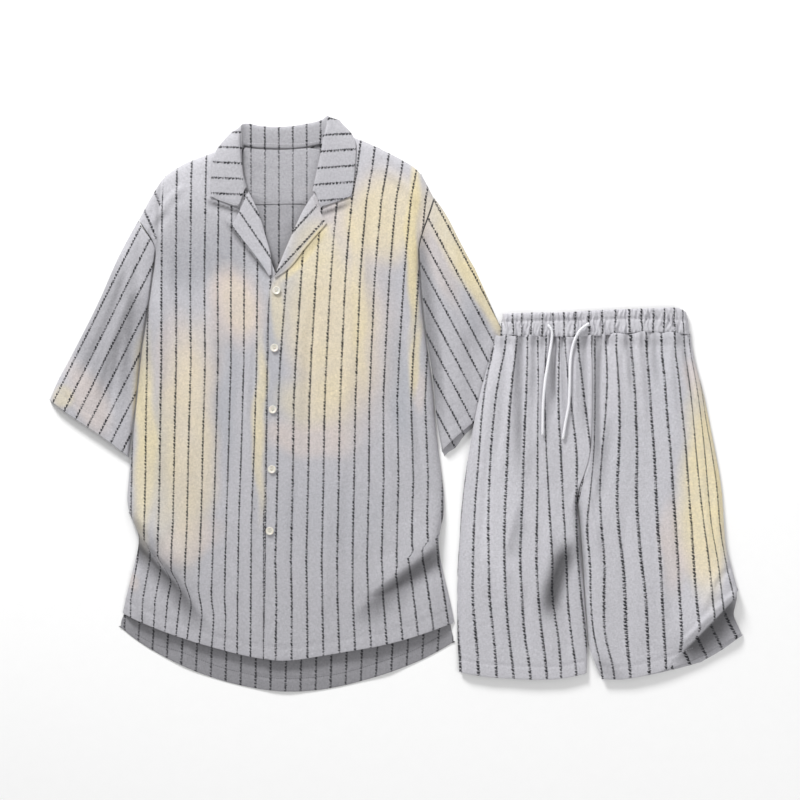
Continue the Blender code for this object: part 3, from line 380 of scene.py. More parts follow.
SLEEVE_CREASES = table(
    Fold,
    (-352, 214, -438, 10, -7, -2.8, 7, 10),
    (-344, 176, -410, -14, 8, 2.4, 9, 7),
    (-362, 118, -388, -40, 4, -2.4, 7, 9),
    (-384, 170, -458, 30, 5, 2.0, 9, 7),
    (48, 200, 120, 0, -7, -2.6, 9, 7),
    (44, 130, 84, -40, 5, 2.2, 7, 9),
    (66, 236, 140, 80, 6, 2.2, 8, 9),
    (60, 92, 74, -54, 3, -2.0, 7, 8),
)
SHORTS_CREASES = table(
    Fold,
    (171, 140, 168, -110, 2, -3.4, 4, 13),
    (178, 140, 176, -100, 2, 1.8, 10, 5),
    (148, 140, 128, -120, -6, -1.8, 7, 10),
    (160, 140, 146, -60, -4, 1.6, 8, 8),
    (190, 140, 188, -40, 2, -1.8, 5, 8),
    (211, 140, 213, -30, 0, -3.2, 4, 9),
    (222, 140, 227, -40, 0, -2.4, 3, 5),
    (240, 140, 244, -60, 2, 1.6, 7, 6),
    (255, 140, 257, -70, 2, -2.6, 5, 8),
    (279, 140, 275, -150, 4, -3.4, 4, 14),
    (289, 140, 283, 62, 0, -2.8, 4, 6),
    (298, 140, 302, -80, 3, 1.8, 9, 7),
    (313, 140, 320, 0, 2, -2.0, 4, 8),
    (326, 140, 338, -60, 3, 1.4, 9, 7),
    (347, 140, 356, 6, 3, -2.0, 5, 9),
    (366, 140, 380, -60, 4, 1.6, 8, 9),
    (385, 140, 402, 0, 4, -2.0, 5, 8),
    (131, 60, 116, -130, 3, 1.5, 9, 8),
    (120, -30, 110, -240, -4, -1.8, 8, 9),
    (176, -120, 150, -224, 0, -3.0, 18, 12),
    (238, -186, 206, -278, 5, -4.0, 8, 16),
    (206, -150, 212, -262, 5, 2.6, 14, 9),
    (150, -190, 148, -330, 6, 1.8, 14, 11),
    (196, -250, 210, -350, -5, 1.8, 11, 10),
    (180, -230, 176, -340, 4, -1.8, 9, 11),
    (228, -262, 236, -344, 4, -1.8, 9, 10),
    (290, -6, 267, -150, -3, -2.6, 11, 8),
    (268, -140, 282, -300, 4, 2.2, 12, 8),
    (310, -110, 318, -330, 6, -2.0, 10, 12),
    (346, -120, 356, -320, -6, 1.8, 12, 10),
    (376, -60, 392, -280, 6, -2.0, 9, 12),
    (424, 0, 440, -180, -4, -1.8, 7, 9),
    (404, -60, 420, -230, -4, 1.6, 8, 9),
    (482, -232, 372, -336, 6, 4.6, 28, 5),
    (458, -214, 426, -252, 4, -2.4, 6, 8),
    (440, -222, 408, -286, 4, 1.8, 7, 9),
    (250, -96, 236, -150, 3, 1.8, 6, 6),
    (258, -92, 276, -200, 5, 2.2, 5, 8),
)

# The drawstring's free ends, as in the part's source
CORD_RADIUS = 1.9
CORD_ROUTES = {
    "drawstring_right": ((203.3, 107.1), (208.3, 99.4), (208.6, 88.3), (204.8, 63.6),
                         (199.3, 30.5), (196.6, 0.1), (196.2, -21.9), (195.9, -41.2)),
    "drawstring_left": ((258.5, 108.9), (246.5, 99.4), (238.2, 82.8), (233.7, 58.1),
                        (232.5, 22.1), (231.4, 0.1), (227.4, -21.9), (223.4, -46.7)),
}
CORD_STEPS = 96
CORD_SIDES = 20
CORD_LOWEST = 1.0
# A tube's ends are this much thinner, and its heights are smoothed over this many steps each way
TUBE_END = 0.86
SMOOTH_REACH = 3

# Where creases stay away: beside the placket, and beside the neck above a height
PLACKET_X = -166.0
PLACKET_CALM = 10.0
NECK_X = -156.0
NECK_HALF = 106.0
NECK_LOW = 150.0
# The back's and the yoke's neck edge, and how far it runs on under the stand
STAND_X = -153.0
STAND_HALF = 62.0
STAND_LOW = 334.0
STAND_TUCK = 5.0
# The legs' gathered edge: where it starts, and how far it laps over the band
WAIST_LOW = 78.0
WAIST_LAP = 3.2
WAIST_SCALLOP = 1.3
WAIST_LIFT = 3.0
# Small puckers of the gathers: where they start, and their height
PUCKER_LOW = 62.0
PUCKER_HEIGHT = 1.1

# Sewing lines, each a few points on the cloth
FRONT_HEM_RIGHT = ((-366, -262), (-325.9, -283), (-290, -296.5), (-241, -311.2), (-203, -320.8),
                   (-183, -324.6))
FRONT_HEM_LEFT = ((-177, -325.5), (-147, -327.8), (-107, -322), (-66, -315), (-20, -307), (22, -296),
                  (74, -277))
BACK_HEM = ((-352, -310), (-325, -324), (-290, -334.3), (-241, -353.5), (-203, -363), (-177, -367.9),
            (-147, -370.1), (-107, -367.9), (-66, -360.6), (-20, -347), (22, -332.3), (60, -312))
PLACKET = ((-168, 148), (-170.4, 86.7), (-173, -100), (-175.2, -322))
CUFF_RIGHT = ((-457, 20), (-438, 5), (-422, -6), (-392, -26), (-373, -39))
CUFF_LEFT = ((168, 50), (133, 22), (97, -8), (70, -31))
LEG_HEM_RIGHT = ((85, -343), (113.8, -348.5), (155.1, -351.9), (202, -353.3), (229.5, -350.8), (255, -344.5))
LEG_HEM_LEFT = ((272, -352), (298.5, -353.5), (323.2, -350.4), (345.2, -345.2), (375.6, -336), (398, -328))
CENTRE = ((266, 88), (265.4, -52), (258.6, -88.6), (246, -118))
COLLAR_EDGE_RIGHT = ((-208, 268), (-245.4, 282.5), (-244, 320), (-240.5, 338), (-233, 350))
COLLAR_EDGE_LEFT = ((-106, 268), (-64.6, 282.5), (-61.6, 305), (-59.8, 330), (-58.6, 352), (-65, 364))
LAPEL_EDGE_RIGHT = ((-214, 254), (-216.6, 243), (-196, 216), (-174.5, 188), (-169.5, 178))
LAPEL_EDGE_LEFT = ((-101, 254), (-100, 243.4), (-122, 218), (-146, 187.5), (-161, 175))
NECK_SEAM = ((-205, 348.4), (-190, 346.0), (-165, 344.6), (-140, 344.6), (-120, 347.0), (-102, 351.0))
NECK_TAPE = ((-200, 351.8), (-176, 351.4), (-150, 351.0), (-130, 351.2), (-113, 353.4), (-101, 356.0))
BAND_RISE = ((146, 0.0), (200, 1.4), (262, 2.6), (320, 4.2), (388, 2.0))
BAND_GROOVE = 111.6
YOKE_SEAM = 268.0
SEAM_STEP = 3.0
STITCH_SINK = 0.12
STITCH_PITCH = 2.9
STITCH_LENGTH = 2.1
STITCH_WIDTH = 0.55
STITCH_UNEVENNESS = 0.12
STITCH_SEED = 7

# Buttons, with their profile in shares of the radius and of the thickness
BUTTON_SPOTS = ((-161.2, 153.0), (-164.0, 75.9), (-166.2, -6.9), (-167.4, -87.2), (-170.2, -170.0))
BUTTON_PROFILE = ((0.0, 0.0), (0.55, 0.0), (0.86, 0.14), (0.97, 0.42), (1.0, 0.66), (0.98, 0.88),
                  (0.9, 1.0), (0.8, 0.99), (0.7, 0.86), (0.6, 0.72), (0.45, 0.66), (0.0, 0.64))
BUTTON_WELL = 0.66
BUTTON_RADIUS = 5.5
BUTTON_SIDES = 48
BUTTON_TURN = 12.0
HOLE_COUNT = 4
HOLE_RING = 1.55
HOLE_RADIUS = 0.62
HOLE_SIDES = 16
THREAD_RADIUS = 0.24
THREAD_SIDES = 8
THREAD_SHIFT = 0.22
THREAD_RISE = 0.34
THREAD_DIP = 0.5
THREAD_STEPS = 9

# Each cloth's brightness, stripe width and ink, each thread's on-screen colour, and the scales of
# the noise along the warp and the weft
CLOTH_LOOKS = {
    "shirt_cloth_look": ClothLook(1.0, 1.0, 0.97),
    # The back's and the yoke's looks are darker copies of the shirt's cloth: its greyer wrong side, and
    # painted shade inside the shirt
    "shirt_back_inside_shaded_look": ClothLook(0.71, 1.0, 0.88),
    "shirt_yoke_inside_shaded_look": ClothLook(0.82, 0.9, 0.70),
    "shorts_cloth_look": ClothLook(1.17, 1.18, 0.97),
}
THREAD_LOOKS = {
    "thread_look": (196, 195, 200),
    "dark_thread_look": (78, 77, 84),
    "pale_thread_look": (236, 235, 240),
    "button_thread_look": (226, 221, 205),
}
WARP_SCALE = (1500.0, 240.0, 900.0)
WEFT_SCALE = (260.0, 1500.0, 900.0)
BRAID_PITCH = 4.2
BRAID_STRANDS = 4

# Stage, in metres; a lamp's share is of the key light's power
FLOOR_REACH = 14.0
FLOOR_GAP = 0.3 * MM
SENSOR_WIDTH = 36.0
FARTHEST_SEEN = 50.0
LAMPS = table(
    Lamp,
    ("key", (-0.95, 2.2, 1.3), 0.8, 1.0),
    ("fill", (1.6, -0.6, 2.4), 1.8, 0.25),
)


def linear(*tone):
    """Scene colour of an on-screen colour given as red, green and blue from 0 to 255."""
    return tuple(((c / 255 + 0.055) / 1.055) ** 2.4 if c > 10 else c / 255 / 12.92 for c in tone)


def dye(name, description, *tone):
    """Colour setting with an on-screen colour as its default."""
    return FloatVectorProperty(name=name, description=description, subtype="COLOR", size=3, min=0, max=1,
                               default=linear(*tone))


def size(name, description, least, most, default):
    """Length setting, given in millimetres."""
    return FloatProperty(name=name, description=description, unit="LENGTH", min=least * MM,
                         max=most * MM, default=default * MM)


class ClothSettings(bpy.types.PropertyGroup):
    """Colours and stripe sizes of the dyed cotton."""
    grey: dye("Grey", "Undyed ground of the cloth", 177, 176, 181)
    warm: dye("Warm", "Yellow of the dyed clouds", 216, 203, 166)
    rose: dye("Rose", "Beige of the dyed clouds", 203, 190, 183)
    cool: dye("Cool", "Blue-grey of the dyed clouds", 166, 167, 173)
    ink: dye("Ink", "Colour of the stripes", 20, 20, 26)
    stripe_width: size("Stripe width", "Width of one stripe", 0.5, 10, 3.45)
    fleck: size("Fleck length", "Length of one mark of a stripe", 0.5, 20, 4.6)


class SewingSettings(bpy.types.PropertyGroup):
    """Sizes of the sewing."""
    stitch_pitch: size("Stitch pitch", "From one stitch to the next", 1, 10, STITCH_PITCH)
    stitch_length: size("Stitch length", "Length of one stitch", 0.5, 10, STITCH_LENGTH)
    stitch_width: size("Stitch width", "Thickness of the sewing thread", 0.1, 2, STITCH_WIDTH)
    seed: IntProperty(name="Seed", description="Seed of the stitches' unevenness", default=STITCH_SEED)


class StageSettings(bpy.types.PropertyGroup):
    """Camera and light."""
    camera_height: size("Camera height", "Camera above the table", 500, 10000, 3000)
    lens: FloatProperty(name="Lens", description="Focal length in millimetres", min=10, max=300, default=100)
    camera_x: size("Camera X", "Camera's place along X", -1000, 1000, 4.7)
    camera_y: size("Camera Y", "Camera's place along Y", -1000, 1000, 5.9)
    sky: FloatProperty(name="Fill light", description="Strength of the even light", min=0, max=5,
                       default=0.45)
    key: FloatProperty(name="Key light", description="Power of the key light in watts", min=0, max=500,
                       default=80)


def soften(value):
    """Ease from 0 to 1 as value goes from 0 to 1."""
    t = np.clip(value, 0.0, 1.0)
    return t * t * (3.0 - 2.0 * t)


def beside(x, y, first, last):
    """Ways across and along the line from first to last, and its length."""
    run_x, run_y = last[0] - first[0], last[1] - first[1]
    length = math.hypot(run_x, run_y)
    across = ((x - first[0]) * run_y - (y - first[1]) * run_x) / length
    along = ((x - first[0]) * run_x + (y - first[1]) * run_y) / length
    return across, along, length


def fold_sum(folds, x, y):
    """Height that a table of folds adds at x, y."""
    total = np.zeros_like(x)
    for fold in folds:
        across, along, length = beside(x, y, (fold.x0, fold.y0), (fold.x1, fold.y1))
        along = along / length
        across = across - fold.bow * 4.0 * along * (1.0 - along)
        reach = np.where(across > 0.0, fold.right, fold.left)
        shape = np.cos(0.5 * math.pi * np.clip(np.abs(across) / reach, 0.0, 1.0)) ** 2
        total += fold.height * soften(along / FOLD_FADE) * soften((1.0 - along) / FOLD_FADE) * shape
    return total


def ripple(x, y, seed=0.0):
    """Small uneven waves of handled cotton, mostly along the garment."""
    waves = np.sin(x / 7.3 + 1.7 * np.sin(y / 61.0 + seed) + seed)
    waves += 0.8 * np.sin(x / 11.9 - y / 83.0 + 2.1 * seed)
    waves += 0.5 * np.sin(x / 4.9 + y / 37.0 + np.sin(y / 23.0) + 3.3 * seed)
    waves += 0.6 * np.sin(y / 17.0 + x / 29.0 + 1.3 * seed)
    return 0.25 * waves


def cloud_sum(clouds, x, y):
    """Soft cover from 0 to 1 of a table of dyed clouds at x, y, with wandering edges."""
    clear = np.ones_like(x)
    wander_x = 5.0 * np.sin(y / 31.0 + x / 57.0) + 2.5 * np.sin(y / 13.0 + 2.0)
    wander_y = 9.0 * np.sin(x / 23.0 + y / 61.0) + 5.0 * np.sin(x / 11.0 + 1.0)
    for cloud in clouds:
        turn = math.radians(cloud.turn)
        dx, dy = x + wander_x * 0.6 - cloud.x, y + wander_y * 0.6 - cloud.y
        across = (dx * math.cos(turn) - dy * math.sin(turn)) / cloud.reach_x
        along = (dx * math.sin(turn) + dy * math.cos(turn)) / cloud.reach_y
        away = np.sqrt(across ** 2 + along ** 2)
        clear *= 1.0 - cloud.strength * soften((CLOUD_EDGE - away) / CLOUD_FADE)
    return 1.0 - clear


def way_at(line, y):
    """Place across of a line of (across, height) points at height y."""
    rows = sorted(line, key=lambda point: point[1])
    return np.interp(y, [row[1] for row in rows], [row[0] for row in rows])


def height_at(line, x):
    """Height of a line of (across, height) points at x."""
    rows = sorted(line)
    return np.interp(x, [row[0] for row in rows], [row[1] for row in rows])


def guided(guides, counts, x, y):
    """Stripe number at x, y, from a panel's guides."""
    rows = sorted(guides)
    heights = [row.y for row in rows]
    stops = [np.interp(y, heights, places) for places in list(zip(*rows))[1:]]
    low = (x - stops[0]) / (stops[1] - stops[0]) * (counts[1] - counts[0]) + counts[0]
    high = (x - stops[1]) / (stops[2] - stops[1]) * (counts[2] - counts[1]) + counts[1]
    return np.where(x < stops[1], low, high)


def numbered(stops, x):
    """Stripe number at x between stripes whose places are stops."""
    number = np.minimum((x - stops[0]) / (stops[1] - stops[0]), 0.0)
    for left, right in zip(stops, stops[1:]):
        number = number + np.clip((x - left) / (right - left), 0.0, 1.0)
    return number + np.maximum((x - stops[-1]) / (stops[-1] - stops[-2]), 0.0)


def leg_number(lines, x, y):
    """Stripe number on a leg, with the stripes' bends rounded."""
    stops = []
    for line in lines:
        points = list(zip(line, LEG_HEIGHTS))
        stops.append(sum(way_at(points, y + shift) for shift in (-18.0, -6.0, 6.0, 18.0)) / 4.0)
    return numbered(stops, x)


def stripes_right_front(x, y):
    """Stripes that bend where the cloth hangs over, and jump where it laps."""
    gap = y - height_at(BLOUSE_EDGE, x) - BLOUSE_DROP
    width = np.interp(x, *BLOUSE_WIDTHS)
    share = soften(0.5 - 0.5 * gap / width) * soften((BLOUSE_END - x) / BLOUSE_FADE)
    above = guided(RIGHT_FRONT_GUIDES, RIGHT_FRONT_COUNTS, x, y)
    below = guided(FOLDED_GUIDES, FOLDED_COUNTS, x, y)
    on_cap = (y > CAP_SEAM[-1][1]) & (x < way_at(CAP_SEAM, y))
    return np.where(on_cap, beside(x, y, *CAP_STRIPE)[0] / CAP_PITCH, above + (below - above) * share), -y


def stripes_left_front(x, y):
    """Stripes of the left front that jog at its fold, with one more along the placket's edge."""
    above = y - height_at(JOG_EDGE, x)
    below = soften(-above / 2.0 + 0.5)
    fading = below * np.exp(-np.abs(above) / JOG_BELOW)
    fading = fading - JOG_BACK * (1.0 - below) * np.exp(-np.abs(above) / JOG_ABOVE)
    jog = np.interp(x, *JOG_STEPS) * fading * (y > JOG_LOW)
    number = guided(LEFT_FRONT_GUIDES, LEFT_FRONT_COUNTS, x + jog, y)
    edge = way_at(PLACKET_STRIPE, y)
    return np.where(x < edge + PLACKET_ROOM, (x - edge) / STRIPE_PITCH - 1.0, number), -y


def stripes_back(x, y):
    """Upright stripes of the back and the yoke."""
    return guided(BACK_GUIDES, BACK_COUNTS, x, y), -y


def stripes_right_leg(x, y):
    """Stripes of the right leg."""
    return leg_number(RIGHT_LEG_LINES, x, y), -y


def stripes_left_leg(x, y):
    """Stripes of the left leg, which lean where its hem is turned under."""
    turned = (x - TURNED_FIRST + TURNED_LEAN * (y - TURNED_LEVEL)) / TURNED_PITCH
    under = (x > LEG_TURN[0][0]) & (y < height_at(LEG_TURN, x))
    return np.where(under, turned, leg_number(LEFT_LEG_LINES, x, y)), -y


def stripes_band(x, y):
    """Stripes of the waistband, which step a little at its groove."""
    step = 1.2 * np.sin(x / 9.0) * soften((BAND_GROOVE - y) / 4.0)
    return numbered([np.full_like(x, place) for place in BAND_LINES], x + step), -y


def stripes_sleeve(sleeve):
    """Stripes along a sleeve, side by side from its outer edge."""
    def at(x, y):
        across, along, _ = beside(x, y, sleeve.tip, sleeve.end)
        return (sleeve.sign * across - sleeve.start) / SLEEVE_PITCH, along

    return at


def collar_leaves(x, y):
    """Where the collar's two leaves are, beside its stand."""
    on_right = x < LEAF_EDGE_RIGHT - 0.04 * (y - LEAF_LEVEL_RIGHT)
    above = y - LEAF_LEVEL_LEFT
    on_left = x > LEAF_EDGE_LEFT + 0.30 * np.maximum(above, 0.0) + 0.17 * np.minimum(above, 0.0)
    return on_right, on_left


def stripes_collar(x, y):
    """Nearly level stripes on the leaves, upright ones on the stand."""
    right, left = ((y - leaf.y - leaf.lean * (x - leaf.x)) / leaf.pitch for leaf in (LEAF_RIGHT, LEAF_LEFT))
    on_right, on_left = collar_leaves(x, y)
    number = np.where(on_right, right, np.where(on_left, left, guided(BACK_GUIDES, BACK_COUNTS, x, y)))
    return number, np.where(on_right | on_left, x, -y)


def stripes_lapel(lapel):
    """Stripes side by side with a lapel's first one, which is given by two points."""
    def at(x, y):
        across, along, _ = beside(x, y, lapel.first, lapel.last)
        return across / lapel.pitch, along

    return at


def placket_calm(x, y):
    """How far the creases fade where the fronts overlap and beside the neck."""
    calm = soften((np.abs(x - PLACKET_X) - PLACKET_CALM) / 16.0)
    reach = np.where(y > NECK_LOW, np.maximum(NECK_HALF - np.abs(x - NECK_X), 0.0), 0.0)
    return calm * (1.0 - soften(reach / 14.0) * soften((y - NECK_LOW) / 40.0))


def groove(lines, x, y, depth, width):
    """Pressed line along some lines of points, as a depth below zero."""
    nearest = np.full_like(x, 1e6)
    for line in lines:
        for (x0, y0), (x1, y1) in zip(line, line[1:]):
            span = (x1 - x0) ** 2 + (y1 - y0) ** 2
            along = np.clip(((x - x0) * (x1 - x0) + (y - y0) * (y1 - y0)) / span, 0.0, 1.0)
            nearest = np.minimum(nearest, np.hypot(x - x0 - along * (x1 - x0), y - y0 - along * (y1 - y0)))
    return -depth * np.exp(-(nearest / width) ** 2)


def shirt_relief(x, y):
    """Creases and hems of the fronts."""
    folds = (fold_sum(SHIRT_CREASES, x, y) + 0.55 * ripple(x, y, 0.4)) * placket_calm(x, y)
    return folds + groove((FRONT_HEM_RIGHT, FRONT_HEM_LEFT), x, y, 0.7, 2.2)


def sleeve_relief(x, y):
    """Creases and hems of the sleeves."""
    folds = fold_sum(SLEEVE_CREASES, x, y) + 0.5 * ripple(x * 0.9 + y * 0.4, y, 1.9)
    return folds + groove((CUFF_RIGHT, CUFF_LEFT), x, y, 0.6, 2.2)


def back_relief(x, y):
    """Creases and hem of the back."""
    return fold_sum(BACK_CREASES, x, y) + 0.3 * ripple(x, y, 2.4) + groove((BACK_HEM,), x, y, 0.9, 2.0)


def collar_relief(x, y):
    """Neck tape and small waves of the collar."""
    tape = groove((NECK_TAPE,), x, y, 0.5, 1.6)
    return tape + 0.25 * ripple(x * 0.8, y * 1.3, 4.4)


def lapel_relief(x, y):
    """Small waves of the lapels."""
    return 0.25 * ripple(x + 0.5 * y, y, 5.2)


def shorts_relief(x, y):
    """Creases, gathers and hems of the legs, with no ridge under the cords."""
    near_cord = np.ones_like(x)
    for route in CORD_ROUTES.values():
        heights = [height for _, height in route]
        over = (y > min(heights) - 6.0) & (y < max(heights) + 6.0)
        near_cord *= np.where(over, soften((np.abs(x - way_at(route, y)) - 2.0) / 6.0), 1.0)
    relief = fold_sum(SHORTS_CREASES, x, y) + 0.5 * ripple(x, y, 3.1)
    relief = relief * (1.0 + 0.35 * soften((y + 10.0) / 50.0))
    puckers = np.sin(x / 1.9 + 1.4 * np.sin(x / 13.0)) + 0.6 * np.sin(x / 3.7 + 1.0)
    relief = relief + PUCKER_HEIGHT * puckers * soften((y - PUCKER_LOW) / 26.0)
    relief = relief + groove((LEG_HEM_RIGHT, LEG_HEM_LEFT), x, y, 0.6, 2.2)
    return np.where(relief > 0.0, relief * near_cord, relief)


def band_relief(x, y):
    """Gathered channel below a groove, with uneven short wrinkles."""
    level = y - height_at(BAND_RISE, x)
    long = np.sin(x / 1.3 + 1.7 * np.sin(x / 7.3) + 1.1 * np.sin(level / 4.2 + x / 13.0))
    short = np.sin(x / 0.78 + 2.3 * np.sin(x / 11.0 + 2.0) + 1.4 * np.sin(level / 3.1 + x / 9.0))
    strength = 0.5 + 0.35 * np.sin(x / 17.0 + level / 6.0) + 0.25 * np.sin(x / 5.3 + 1.0)
    return 1.25 * (long + 0.7 * short) * strength - 1.3 * np.exp(-((level - BAND_GROOVE) / 2.0) ** 2)


def yoke_relief(x, y):
    """Thins the yoke towards its lower seam."""
    return -1.0 * soften((YOKE_SEAM + 7.0 - y) / 7.0)


def still(x, y):
    """No relief."""
    return np.zeros_like(x)


def tuck_neck(places):
    """Runs the back's and the yoke's neck edge on, under the collar's stand."""
    inside = soften((STAND_HALF - np.abs(places[:, 0] - STAND_X)) / 10.0)
    places[:, 1] += STAND_TUCK * soften((places[:, 1] - STAND_LOW) / 9.0) * inside


def lift_waist(places):
    """Laps the legs' gathered edge, scalloped by its pleats, over the waistband's seam."""
    x, y, z = places.T
    share = soften((y - WAIST_LOW) / 12.0)
    scallops = WAIST_LAP + WAIST_SCALLOP * np.sin(x / 3.9 + 1.6 * np.sin(x / 11.0))
    places[:, 1] = y + share * scallops
    places[:, 2] = z + WAIST_LIFT * share * soften((z - 4.0) / 3.0)


def beside_roll(x, y):
    """Shade from 0 to 1 beside the right leaf's roll, inside the neck."""
    return np.exp(-np.abs(x - way_at(ROLL_LINE, y)) / ROLL_REACH) * (y > ROLL_LINE[-1][1])


def painted_shade_of(node, x, y):
    """Painted shade of a panel, from 0 to 1, or a little below 0 where it is painted paler."""
    if node == "shirt_collar":
        on_right, on_left = collar_leaves(x, y)
        stand = STAND_SHADE + ROLL_SHADE * beside_roll(x, y) - groove((NECK_SEAM,), x, y, 0.6, 1.7)
        return np.where(on_right | on_left, LEAF_SHADE, stand)
    if node == "shirt_back":
        return BACK_HEM_SHADE * soften((BACK_HEM_TOP - y) / 60.0) + ROLL_SHADE * beside_roll(x, y)
    if node == "shirt_back_yoke":
        return ROLL_SHADE * beside_roll(x, y)
    if node.startswith("shorts_front"):
        return np.minimum(fold_sum(SHORTS_PAINTED_SHADE, x, y) + cloud_sum(SHORTS_SHADES, x, y), MOST_SHADE_SHORTS)
    if "front" in node or "sleeve" in node:
        folds = fold_sum(SHIRT_PAINTED_SHADE if "front" in node else SLEEVE_PAINTED_SHADE, x, y)
        return np.minimum(folds + cloud_sum(SHIRT_SHADES, x, y), MOST_SHADE_SHIRT)
    return still(x, y)


def is_corner(vert):
    """Whether the outline turns so sharply at a vertex that the rounding must keep it."""
    rims = [edge for edge in vert.link_edges if edge.calc_face_angle(0.0) > RIM_ANGLE]
    if len(vert.link_edges) == 3 or len(rims) > 2:
        return True
    if len(rims) < 2:
        return False
    first, second = ((edge.other_vert(vert).co - vert.co).normalized() for edge in rims)
    return first.angle(-second) > CORNER_ANGLE


def link_object(name, data):
    """New object in the scene."""
    made = bpy.data.objects.new(name, data)
    bpy.context.scene.collection.objects.link(made)
    return made


def mesh_of(name, shell):
    """Mesh with all that a bmesh holds. The bmesh is freed."""
    mesh = bpy.data.meshes.new(name)
    shell.to_mesh(mesh)
    shell.free()
    return mesh


def smooth_copy(node, levels):
    """Mesh of a CAD panel with its doubles merged and its quads restored, subdivided."""
    shell = bmesh.new()
    shell.from_mesh(NODES[node].data)
    bmesh.ops.remove_doubles(shell, verts=shell.verts, dist=DOUBLES)
    bmesh.ops.join_triangles(shell, faces=shell.faces, angle_face_threshold=QUAD_ANGLE,
                             angle_shape_threshold=QUAD_ANGLE)
    corner = shell.verts.layers.float.new("crease_vert")
    for vert in shell.verts:
        vert[corner] = float(is_corner(vert))
    holder = link_object(node, mesh_of(node, shell))
    rounding = holder.modifiers.new("Rounding", "SUBSURF")
    rounding.levels = rounding.render_levels = levels
    return finished_mesh(holder)


def finished_mesh(holder):
    """Mesh of an object with its modifiers applied. The object is taken away."""
    graph = bpy.context.evaluated_depsgraph_get()
    graph.update()
    made = bpy.data.meshes.new_from_object(holder.evaluated_get(graph), depsgraph=graph)
    bpy.data.objects.remove(holder)
    return made


def points_of(mesh):
    """Vertex places in millimetres."""
    places = np.zeros(len(mesh.vertices) * 3)
    mesh.vertices.foreach_get("co", places)
    return places.reshape(-1, 3) / MM


def put_points(mesh, places):
    """Set the vertex places in millimetres, none of them below the table."""
    places[:, 2] = np.maximum(places[:, 2], 0.0)
    mesh.vertices.foreach_set("co", (places * MM).ravel())
    mesh.update()


def keep_value(mesh, name, values):
    """Store one number for each vertex."""
    layer = mesh.attributes.new(name, "FLOAT", "POINT")
    layer.data.foreach_set("value", values.astype(np.float32))


def keep_stripes(mesh, number, run):
    """UV map whose U is the stripe number and whose V is the way along the stripe in metres."""
    corners = np.zeros(len(mesh.loops), dtype=np.int32)
    mesh.loops.foreach_get("vertex_index", corners)
    layer = mesh.uv_layers.new(name="Stripes")
    pairs = np.stack((number[corners], run[corners] * MM), axis=1)
    layer.data.foreach_set("uv", pairs.ravel())


def add_piece(name, mesh, material, node=None):
    """Show a mesh as a piece that rides on the part, in a CAD node's place if one is given."""
    mesh.name = name
    mesh.materials.clear()
    mesh.materials.append(material)
    mesh.shade_smooth()
    piece = link_object(name, mesh)
    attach(piece, ROOT)
    if node:
        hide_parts(node)
    return piece


def dress_panel(node, levels, relief, stripes, material, steady=3.4, fade=4.0, seam=None):
    """Cloth of one CAD panel, creased by relief, striped by stripes and shaped at a seam."""
    mesh = smooth_copy(node, levels)
    places = points_of(mesh)
    x, y, z = places.T
    keep_stripes(mesh, *stripes(x, y))
    shorts = node.startswith("shorts")
    for name, clouds in (SHORTS_DYES if shorts else SHIRT_DYES).items():
        keep_value(mesh, name, cloud_sum(clouds, x, y) * (node != "shirt_collar"))
    # The kept depth is painted shade, which darkens the cloth's colour
    keep_value(mesh, "depth", painted_shade_of(node, x, y))
    places[:, 2] = z + relief(x, y) * soften((z - steady) / fade)
    if seam is not None:
        seam(places)
    put_points(mesh, places)
    piece = add_piece(f"{node}_cloth", mesh, look(material), node)


def add_node(tree, kind, inputs=None, **settings):
    """New node with its settings and inputs; an input is a value or a socket to link."""
    made = tree.nodes.new(kind)
    for name, value in settings.items():
        setattr(made, name, value)
    for key, value in (inputs or {}).items():
        if isinstance(value, bpy.types.NodeSocket):
            tree.links.new(value, made.inputs[key])
        else:
            made.inputs[key].default_value = value
    return made


def calc(operation, *values):
    """Result of one Math node, in the tree of the first socket among its values."""
    tree = next(value.id_data for value in values if isinstance(value, bpy.types.NodeSocket))
    return add_node(tree, "ShaderNodeMath", dict(enumerate(values)), operation=operation).outputs[0]


def plus(a, b):
    """Sum of two numbers or sockets."""
    return calc("ADD", a, b)


def minus(a, b):
    """Difference of two numbers or sockets."""
    return calc("SUBTRACT", a, b)


def times(a, b):
    """Product of two numbers or sockets."""
    return calc("MULTIPLY", a, b)


def scaled(value, factor, offset):
    """Value times factor, plus offset."""
    return calc("MULTIPLY_ADD", value, factor, offset)


def ramp(value, low, high, kind="SMOOTHSTEP"):
    """Value eased from 0 at low to 1 at high."""
    inputs = {"Value": value, "From Min": low, "From Max": high}
    return add_node(value.id_data, "ShaderNodeMapRange", inputs, interpolation_type=kind).outputs["Result"]


def blend(share, low, high):
    """Colour mixed from low to high by share."""
    return add_node(share.id_data, "ShaderNodeMix", {0: share, 6: low, 7: high}, data_type="RGBA").outputs[2]


def noise(place, scale, detail, **more):
    """Noise from 0 to 1 at a place."""
    inputs = {"Vector": place, "Scale": scale, "Detail": detail, **more}
    return add_node(place.id_data, "ShaderNodeTexNoise", inputs).outputs["Fac"]


def object_place(tree):
    """Place in the object's own coordinates."""
    return add_node(tree, "ShaderNodeTexCoord").outputs["Object"]


def kept_value(tree, name):
    """One of the numbers that a mesh keeps for each vertex."""
    return add_node(tree, "ShaderNodeAttribute", attribute_name=name).outputs["Fac"]


def split_map(tree, name):
    """U and V of a UV map."""
    uv = add_node(tree, "ShaderNodeUVMap", uv_map=name).outputs[0]
    return add_node(tree, "ShaderNodeSeparateXYZ", {0: uv}).outputs[:2]


def new_material(name, roughness, sheen=0.0):
    """Material with its tree and shader."""
    material = bpy.data.materials.new(name)
    material.use_nodes = True
    shader = material.node_tree.nodes["Principled BSDF"]
    shader.inputs["Roughness"].default_value = roughness
    shader.inputs["Sheen Weight"].default_value = sheen
    shader.inputs["Sheen Roughness"].default_value = 0.5
    shader.inputs["IOR"].default_value = 1.45
    return material, material.node_tree, shader


